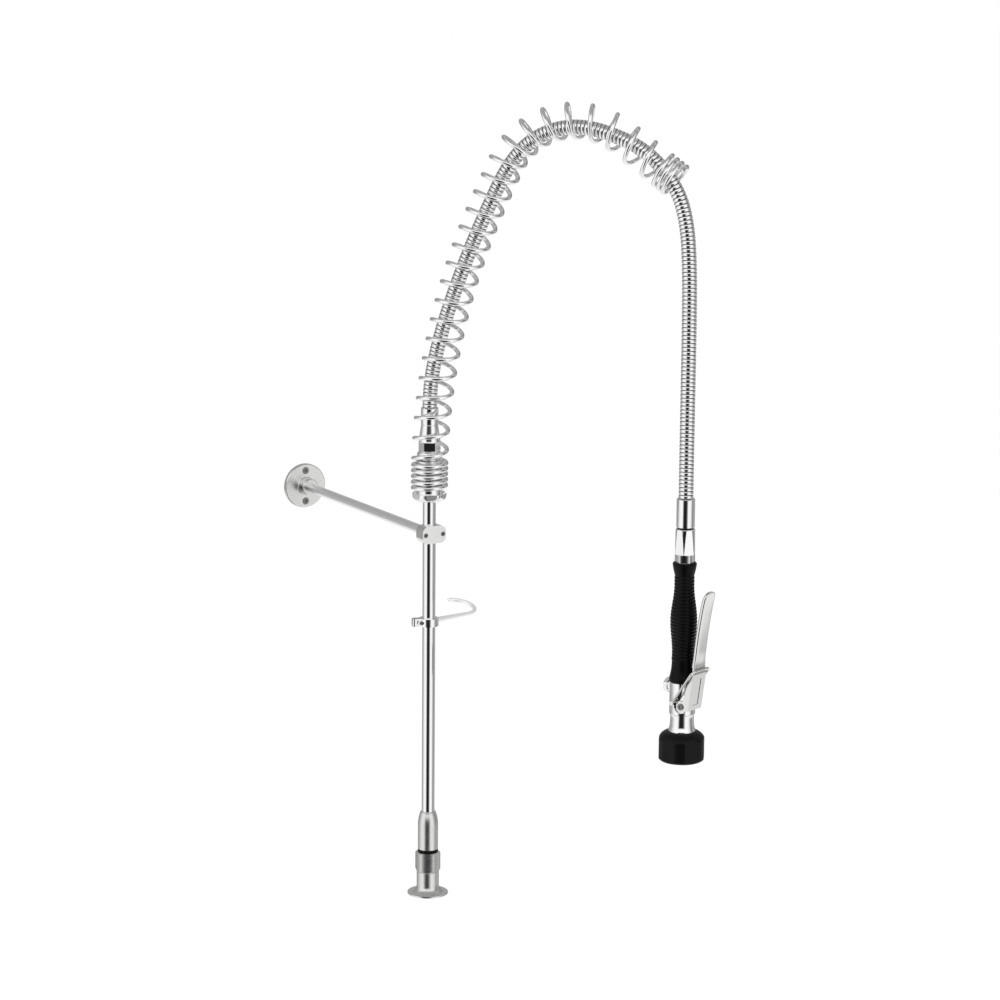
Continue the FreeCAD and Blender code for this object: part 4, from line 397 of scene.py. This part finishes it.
def tool_lines_group():
    group, given, out = effect_group(
        "tool lines", [("Scale", 90.0), ("Fine", 0.15), ("Coarse", 0.23)], ["Roughness", "Height"],
        vectors=[("Stretch", (1.0, 1.0, 40.0))])
    squeezed = stretched(group, given["Place"], given["Stretch"])
    lines = noise_node(group, squeezed, given["Scale"], LINE_DETAIL)
    feed(group, spread_node(group, lines, given["Fine"], given["Coarse"]), out["Roughness"])
    feed(group, lines, out["Height"])
    return group


TOOL_LINES = tool_lines_group()

# %% [markdown]
# Moulded grain
#
# Grip and bumper come out of a mould with a fine grain, and hands make the rubber shine in patches. Grain
# could be cut into the mesh, but it is far finer than the faces, so a very fine noise gives it as a height. A
# slow noise moves the roughness between a shiny and a dull value.

# %% Moulded grain
PATCH_SCALE = 30.0
GRAIN_SCALE = 1400.0


def moulded_grain_group():
    group, given, out = effect_group(
        "moulded grain", [("Shiny", 0.36), ("Dull", 0.5)], ["Roughness", "Height"])
    patches = noise_node(group, given["Place"], PATCH_SCALE)
    feed(group, spread_node(group, patches, given["Shiny"], given["Dull"]), out["Roughness"])
    feed(group, noise_node(group, given["Place"], GRAIN_SCALE), out["Height"])
    return group


MOULDED_GRAIN = moulded_grain_group()

# %% [markdown]
# Buffed facets
#
# The polishing wheel rounds the flats of a hexagon a little, so each shows a soft change from light to dark
# and not one flat tone. Rounding the mesh would take many faces. A height does it instead: within each sixth
# of a turn it falls off with the square of the distance from the middle of the flat.

# %% Buffed facets
SIXTH = math.pi / 3


def buffed_facets_group():
    """Corner is the bearing of a corner, Apothem the distance to a flat, Slope the tilt at a corner."""
    group, given, out = effect_group(
        "buffed facets", [("Corner", 0.0), ("Apothem", 0.015), ("Slope", 0.3)], ["Height"])
    x, y, _ = add_node(group, "ShaderNodeSeparateXYZ", {0: given["Place"]}).outputs
    turned = math_node(group, "SUBTRACT", math_node(group, "ARCTAN2", y, x), given["Corner"])
    within = math_node(group, "FLOORED_MODULO", turned, SIXTH)
    across = math_node(group, "TANGENT", math_node(group, "SUBTRACT", within, SIXTH / 2))
    square = math_node(group, "MULTIPLY", across, across)
    sloped = math_node(group, "MULTIPLY", square, given["Slope"])
    drop = math_node(group, "MULTIPLY", sloped, given["Apothem"])
    feed(group, math_node(group, "MULTIPLY", drop, -0.5 / math.tan(SIXTH / 2)), out["Height"])
    return group


BUFFED_FACETS = buffed_facets_group()

# %% [markdown]
# Materials
#
# Polished steel is a mirror with faint wipe marks. Satin steel has tool lines and only blurs the room, and
# the turned pieces of the foot, the wall flange and the drawn arm blur it more. The hook's rod is finely
# blasted and nearly white. Screws are darker. Rubber is nearly black, so that what shows of it is mostly its
# shine. Each could have a shader of its own, but they differ only in a few values, so one function makes them
# all. It reads object coordinates, so that the marks stay on the metal when a piece moves.

# %% One material


def new_material(name, colour, effect, strength, distance, metallic=1.0, **values):
    """A material of one colour whose roughness and bump come from one shared effect."""
    material = bpy.data.materials.new(name)
    material.use_nodes = True
    tree = material.node_tree
    place = add_node(tree, "ShaderNodeTexCoord").outputs["Object"]
    marks = add_node(tree, "ShaderNodeGroup", {"Place": place, **values}, node_tree=effect)
    bump = add_node(tree, "ShaderNodeBump", {
        "Strength": strength, "Distance": distance, "Height": marks.outputs["Height"],
    })
    shader = tree.nodes["Principled BSDF"]
    feed(tree, (*colour, 1.0), shader.inputs["Base Color"])
    feed(tree, metallic, shader.inputs["Metallic"])
    feed(tree, marks.outputs["Roughness"], shader.inputs["Roughness"])
    feed(tree, bump.outputs[0], shader.inputs["Normal"])
    return material


def grey(level):
    return (level, level, level)


# %% Kinds of material


def polished(name):
    return new_material(name, grey(0.95), WIPE_MARKS, strength=0.02, distance=0.0004)


def lined(name, colour, **values):
    return new_material(name, colour, TOOL_LINES, strength=0.05, distance=0.0001, **values)


def black_rubber(name, level, shine, **values):
    material = new_material(name, grey(level), MOULDED_GRAIN, strength=0.15, distance=0.0001, metallic=0.0,
                            **values)
    material.node_tree.nodes["Principled BSDF"].inputs["Specular IOR Level"].default_value = shine
    return material


# %% Materials of the pieces
EVEN = (1.0, 1.0, 1.0)
MATERIALS = {
    "polished_steel": polished("polished steel"),
    "satin_steel": lined("satin steel", (0.84, 0.84, 0.83)),
    "fastener": lined("screw steel", grey(0.22), Scale=400.0, Stretch=EVEN, Fine=0.2, Coarse=0.32),
    "rubber": black_rubber("black rubber", level=0.003, shine=0.14, Shiny=0.3, Dull=0.42),
    "grip_plastic": black_rubber("grip rubber", level=0.002, shine=0.12, Shiny=0.28, Dull=0.4),
}
dull_steel = lined("turned dull steel", (0.8, 0.8, 0.79), Fine=0.24, Coarse=0.34)
rod_steel = lined("drawn rod steel", grey(0.96), Fine=0.3, Coarse=0.42)
pale_steel = lined("blasted steel", grey(0.9), metallic=0.45, Fine=0.22, Coarse=0.3)
OWN_FINISH = {
    "base_foot": dull_steel, "base_nut": dull_steel, "riser_sleeve": dull_steel, "riser_cap": dull_steel,
    "wall_flange": dull_steel, "arm_rod": rod_steel, "hook_rod": pale_steel,
}


def coat(name, material):
    mesh = nodes[name].data
    mesh.materials.clear()
    mesh.materials.append(material)


for subpart in frame["record"]["subparts"]:
    name = subpart["node"]
    coat(name, OWN_FINISH.get(name, MATERIALS[subpart["material_slot"]]))

# %% [markdown]
# Hexagons with buffed facets
#
# Two pieces show their flats from near: the tall nut over the foot and the hexagon at the end of the gun's
# handle. Each gets its own copy of its steel, because the effect has to know where the hexagon stands and how
# it is turned. The broad rounding goes through a Bump node of its own, and the fine marks then lie on it.

# %% Hexagons
NUT_CORNER = 23.7
NUT_APOTHEM = 0.0154
HANDLE_CORNER = 37.1 + LEVER_DEGREES
HANDLE_APOTHEM = 0.0119


def buff_facets(name, corner, apothem, centre):
    """Gives one piece its own copy of its steel, whose six flats look slightly rounded."""
    own = nodes[name].data.materials[0].copy()
    own.name = name.replace("_", " ") + " steel"
    tree = own.node_tree
    by_kind = {node.bl_idname: node for node in tree.nodes}
    place = by_kind["ShaderNodeTexCoord"].outputs["Object"]
    fine = by_kind["ShaderNodeBump"]
    shift = add_node(tree, "ShaderNodeVectorMath", {0: place, 1: centre}, operation="SUBTRACT")
    facets = add_node(tree, "ShaderNodeGroup", {
        "Place": shift.outputs[0], "Corner": math.radians(corner), "Apothem": apothem,
    }, node_tree=BUFFED_FACETS)
    broad = add_node(tree, "ShaderNodeBump", {
        "Strength": 1.0, "Distance": 1.0, "Height": facets.outputs["Height"],
    })
    feed(tree, broad.outputs[0], fine.inputs["Normal"])
    coat(name, own)
    print("facets on", name)


buff_facets("base_nut", NUT_CORNER, NUT_APOTHEM, (0.0, 0.0, 0.0))
buff_facets("handle_tube", HANDLE_CORNER, HANDLE_APOTHEM, on_gooseneck(GUN_REACH, 0.0))

# %% [markdown]
# Hose: its line
#
# The hose is one flexible metal tube. It leaves the ferrule over the riser, climbs inside the spring, passes
# the crown and hangs down to the gun. Its fall could be simulated, but the spring holds one half of it and
# the gun pulls the other half nearly straight. So the line is a smooth curve on a few points of the
# gooseneck's plane.

# %% Line of the hose
# reach and height of the route's points
ROUTE = [
    (0.0, 0.69565), (0.0, 0.728), (0.014, 0.793), (0.0345, 0.856), (0.058, 0.918), (0.084, 0.977),
    (0.112, 1.035), (0.1455, 1.0718), (0.1914, 1.0908), (0.241, 1.0886), (0.3075, 1.0635),
    (0.3495, 1.0165), (0.3645, 0.971), (0.3693, 0.913), (0.3703, 0.832), (0.37, 0.713), (0.37, 0.597),
]
STEPS_PER_POINT = 24


def hose_line():
    curve = bpy.data.curves.new("hose_line", "CURVE")
    curve.dimensions = "3D"
    curve.resolution_u = STEPS_PER_POINT
    spline = curve.splines.new("NURBS")
    spline.points.add(len(ROUTE) - 1)
    for point, (reach, height) in zip(spline.points, ROUTE):
        point.co = (*on_gooseneck(reach, height), 1.0)
    spline.order_u = 3
    spline.use_endpoint_u = True
    return curve


def finished_mesh(data, group=None, values=None):
    """The mesh that comes of a curve or a mesh, after a geometry group where one is given."""
    holder = bpy.data.objects.new("holder", data)
    bpy.context.scene.collection.objects.link(holder)
    if group:
        modifier = holder.modifiers.new("skin", "NODES")
        modifier.node_group = group
        for item in group.interface.items_tree:
            if item.in_out == "INPUT" and item.name in values:
                modifier[item.identifier] = values[item.name]
    bpy.context.view_layer.update()
    mesh = bpy.data.meshes.new_from_object(holder.evaluated_get(bpy.context.evaluated_depsgraph_get()))
    bpy.data.objects.remove(holder)
    return mesh


def curve_points(curve):
    """The points of the smooth line, as they are worked out for a curve with no thickness."""
    line = finished_mesh(curve)
    points = [vertex.co.copy() for vertex in line.vertices]
    bpy.data.meshes.remove(line)
    return points


# %% [markdown]
# Hose: its ribs
#
# The skin has close round ribs with narrow grooves. Copies of one ring could be set along the line, but they
# would gape at the bends. So a circle is swept along the line, and its radius rises and falls once for each
# rib. Geometry Nodes do this from the line alone, with the number of ribs, the steps for each, the root
# radius, the height of a rib, the sides of the circle and the material as inputs. They also keep how far each
# point is up its rib, as the attribute "rib", for the material.

# %% Helper for the ribs
# a power below 1 makes the crests broad and the grooves narrow
CREST_POWER = 0.3


def rib_wave(tree, given):
    """How far a place on the line is up its rib, from 0 to 1, and the radius there."""
    along = add_node(tree, "GeometryNodeSplineParameter").outputs["Factor"]
    turns = math_node(tree, "MULTIPLY", along, given["Ribs"])
    wave = math_node(tree, "ABSOLUTE", math_node(tree, "SINE", math_node(tree, "MULTIPLY", turns, math.pi)))
    shaped = math_node(tree, "POWER", wave, CREST_POWER)
    lift = math_node(tree, "MULTIPLY", shaped, given["Rib height"])
    return wave, math_node(tree, "ADD", lift, given["Root radius"])


# %% Ribbed skin
SKIN_INPUTS = [
    ("Geometry", "NodeSocketGeometry"), ("Ribs", "NodeSocketInt"), ("Steps per rib", "NodeSocketInt"),
    ("Root radius", FLOAT), ("Rib height", FLOAT), ("Sides", "NodeSocketInt"),
    ("Material", "NodeSocketMaterial"),
]


def ribbed_skin_group():
    """Geometry Nodes: a line in, a ribbed tube out."""
    tree = bpy.data.node_groups.new("ribbed skin", "GeometryNodeTree")
    for name, kind in SKIN_INPUTS:
        tree.interface.new_socket(name, in_out="INPUT", socket_type=kind)
    tree.interface.new_socket("Geometry", in_out="OUTPUT", socket_type="NodeSocketGeometry")
    given = tree.nodes.new("NodeGroupInput").outputs
    line = add_node(tree, "GeometryNodeMeshToCurve", {0: given["Geometry"]})
    steps = math_node(tree, "MULTIPLY", given["Ribs"], given["Steps per rib"])
    fine_line = add_node(tree, "GeometryNodeResampleCurve", {
        "Curve": line.outputs[0], "Count": math_node(tree, "ADD", steps, 1.0),
    })
    wave, radius = rib_wave(tree, given)
    marked = add_node(tree, "GeometryNodeStoreNamedAttribute", {
        "Geometry": fine_line.outputs[0], "Name": "rib", "Value": wave,
    }, data_type="FLOAT", domain="POINT")
    circle = add_node(tree, "GeometryNodeCurvePrimitiveCircle", {"Resolution": given["Sides"], "Radius": 1.0})
    skin = add_node(tree, "GeometryNodeCurveToMesh", {
        "Curve": marked.outputs[0], "Profile Curve": circle.outputs[0], "Scale": radius,
    })
    smooth = add_node(tree, "GeometryNodeSetShadeSmooth", {0: skin.outputs[0]})
    real = add_node(tree, "GeometryNodeRealizeInstances", {0: smooth.outputs[0]})
    coated = add_node(tree, "GeometryNodeSetMaterial", {
        "Geometry": real.outputs[0], "Material": given["Material"],
    })
    feed(tree, coated.outputs[0], tree.nodes.new("NodeGroupOutput").inputs["Geometry"])
    print("nodes of the ribbed skin:", len(tree.nodes))
    return tree


# %% [markdown]
# Hose: its steel
#
# The hose has the polish of the riser, but its grooves see little light. Deeper grooves would darken by
# themselves and cost many faces. So the attribute "rib", 0 in a groove and 1 on a crest, paints shade into
# them through a ramp instead.

# %% Ribbed steel
# painted shade: base colour of the hose from the bottom of a groove at 0 to halfway up a rib
GROOVE_SHADE = [(0.0, 0.04), (0.25, 0.18), (0.5, 0.95)]


def ribbed_steel():
    material = polished("ribbed steel")
    tree = material.node_tree
    mark = add_node(tree, "ShaderNodeAttribute", attribute_name="rib")
    # paints shade into the grooves: the base colour falls to near black where the rib is low
    shade = ramp_node(tree, mark.outputs["Fac"], GROOVE_SHADE)
    feed(tree, shade, tree.nodes["Principled BSDF"].inputs["Base Color"])
    return material


# %% [markdown]
# Hose: the finished piece
#
# The ribbed skin takes the place of the plain hose, which is hidden. It is one piece and doesn't follow the
# gun when it swings.

# %% Ribbed hose
HOSE_SIZES = {"Ribs": 200, "Steps per rib": 8, "Root radius": 0.0088, "Rib height": 0.0013, "Sides": 32}


def add_piece(name, mesh):
    mesh.name = name
    piece = bpy.data.objects.new(name, mesh)
    bpy.context.scene.collection.objects.link(piece)
    return piece


def add_hose():
    points = curve_points(hose_line())
    line = bpy.data.meshes.new("hose_route")
    line.from_pydata(points, [(i, i + 1) for i in range(len(points) - 1)], [])
    skin = finished_mesh(line, ribbed_skin_group(), {**HOSE_SIZES, "Material": ribbed_steel()})
    hose = add_piece("ribbed_hose", skin)
    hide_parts("hose")
    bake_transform(hose)


add_hose()

# %% [markdown]
# Lever blade: its shape
#
# The blade is pressed from sheet: its front is slightly crowned, its edges are rolled back, and it bends away
# from the handle in one even curve. The solid gives it straight runs. Smoothing the whole lever would spoil
# the flats of its body. So one closed loft goes round the blade alone: the same section at each height, on a
# smooth curve through the solid's bends. Its sizes are in millimetres, and only its place is in metres.

# %% Front line and section of the blade
MM_PER_METRE = 1000
# the foot of the gun's body over the ground, in metres
BODY_FOOT = 0.29815
# height over the foot of the gun's body, and reach from the gun's axis
FRONT_LINE = [(59.85, 28.3), (77.85, 29.2), (111.85, 33.3), (137.85, 37.5), (163.85, 42.8), (177.0, 47.5)]
# half of the section, from the middle of the front round the edge to the middle of the back: share of the
# half width, distance ahead of the front line, and how much of the crown it gets
HALF_SECTION = [
    (0.0, 0.7, 1.0), (0.3, 0.7, 0.92), (0.55, 0.7, 0.7), (0.75, 0.65, 0.42), (0.88, 0.45, 0.2),
    (0.96, -0.1, 0.0), (1.0, -1.1, 0.0), (1.0, -2.6, 0.0), (0.99, -4.2, 0.0), (0.93, -4.6, 0.0),
    (0.87, -4.2, 0.0), (0.8, -3.3, 0.0), (0.4, -3.1, 0.0), (0.0, -3.1, 0.0),
]
SECTION = HALF_SECTION + [(-share, ahead, crown) for share, ahead, crown in HALF_SECTION[-2:0:-1]]
CROWN = 1.1


def front_reach(height):
    """The smooth curve through the bends of the blade's front."""
    last = len(FRONT_LINE) - 1
    run = max(i for i in range(last) if i == 0 or FRONT_LINE[i][0] <= height)
    (low, start), (high, end) = FRONT_LINE[run], FRONT_LINE[run + 1]
    slopes = []
    for i in (run, run + 1):
        a, b = FRONT_LINE[max(i - 1, 0)], FRONT_LINE[min(i + 1, last)]
        slopes.append((b[1] - a[1]) / (b[0] - a[0]) * (high - low))
    t = (height - low) / (high - low)
    return (start * (2 * t**3 - 3 * t**2 + 1) + slopes[0] * (t**3 - 2 * t**2 + t)
            + end * (3 * t**2 - 2 * t**3) + slopes[1] * (t**3 - t**2))


print("reach of the front at 100 mm:", round(front_reach(100.0), 2), "mm")

# %% [markdown]
# Lever blade: its loft
#
# The sections stand one over another from the root to the tip. Near the root the blade is a little wider, and
# its crown is low. At the tip the sections narrow along a quarter circle to either side, which closes the end
# nearly in a half round.

# %% Sections of the blade
LOFT_START = 69.0
TIP_START = 165.4
HALF_WIDTH = 11.3
STRAIGHT_ROWS = 48
TIP_ANGLES = range(0, 88, 6)
ROOT_FLARE = 1.5
FLARE_HEIGHTS = (67.0, 84.0)
ROOT_CROWN = 0.3
CROWN_HEIGHTS = (69.0, 92.0)


def eased(value, low, high):
    """0 below the range, 1 above it, and a soft change between."""
    share = min(max((value - low) / (high - low), 0.0), 1.0)
    return share * share * (3.0 - 2.0 * share)


def blade_rows():
    """The height of each section and how much the tip narrows it."""
    run = TIP_START - LOFT_START
    rows = [(LOFT_START + run * i / STRAIGHT_ROWS, 1.0) for i in range(STRAIGHT_ROWS)]
    for angle in map(math.radians, TIP_ANGLES):
        rows.append((TIP_START + HALF_WIDTH * math.sin(angle), math.cos(angle)))
    return rows


def section_sizes(height, narrowing):
    """The half width of one section, and how far its crown is raised."""
    flare = ROOT_FLARE * (1.0 - eased(height, *FLARE_HEIGHTS))
    raised = ROOT_CROWN + (1.0 - ROOT_CROWN) * eased(height, *CROWN_HEIGHTS)
    return (HALF_WIDTH + flare) * narrowing, raised


# %% Points and faces of the loft


def blade_points():
    centre = on_gooseneck(GUN_REACH, BODY_FOOT)
    heading = math.radians(LEVER_DEGREES)
    outward = Vector((math.cos(heading), math.sin(heading), 0.0))
    across = Vector((-math.sin(heading), math.cos(heading), 0.0))
    points = []
    for height, narrowing in blade_rows():
        half_width, raised = section_sizes(height, narrowing)
        for share, ahead, crown in SECTION:
            lift = ahead if ahead < 0 else ahead * raised
            reach = front_reach(height) + lift + CROWN * crown * raised * narrowing
            side = across * share * half_width / MM_PER_METRE
            point = centre + outward * reach / MM_PER_METRE + side
            points.append((point.x, point.y, point.z + height / MM_PER_METRE))
    return points


def loft_faces(rows, count):
    """Quads between the rows, which go all round, and one face at each end."""
    faces = []
    for row in range(rows - 1):
        low, high = row * count, (row + 1) * count
        for i in range(count):
            j = (i + 1) % count
            faces.append((low + i, low + j, high + j, high + i))
    faces.append(tuple(reversed(range(count))))
    faces.append(tuple((rows - 1) * count + i for i in range(count)))
    return faces


# %% [markdown]
# Lever blade: the finished piece
#
# The faces are turned outwards and smoothed, and they get the satin steel of the rest of the lever. The blade
# could have a joint of its own, but it is one sheet with the lever, so it moves with the lever's body.

# %% Blade of the lever


def turn_faces_outwards(mesh):
    shape = bmesh.new()
    shape.from_mesh(mesh)
    bmesh.ops.recalc_face_normals(shape, faces=shape.faces)
    shape.to_mesh(mesh)
    shape.free()


def add_lever_blade():
    mesh = bpy.data.meshes.new("lever_blade")
    mesh.from_pydata(blade_points(), [], loft_faces(len(blade_rows()), len(SECTION)))
    turn_faces_outwards(mesh)
    mesh.polygons.foreach_set("use_smooth", [True] * len(mesh.polygons))
    mesh.materials.append(MATERIALS["satin_steel"])
    blade = add_piece("lever_blade", mesh)
    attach(blade, "squeeze_lever")
    print("faces of the blade:", len(mesh.polygons))


add_lever_blade()

# %% [markdown]
# Last setting
#
# The visual model stays within the box of the solids, but for half a millimetre at the lever's blade. The
# plain view transform keeps white white.

# %% Colours
bpy.context.scene.view_settings.view_transform = "Standard"
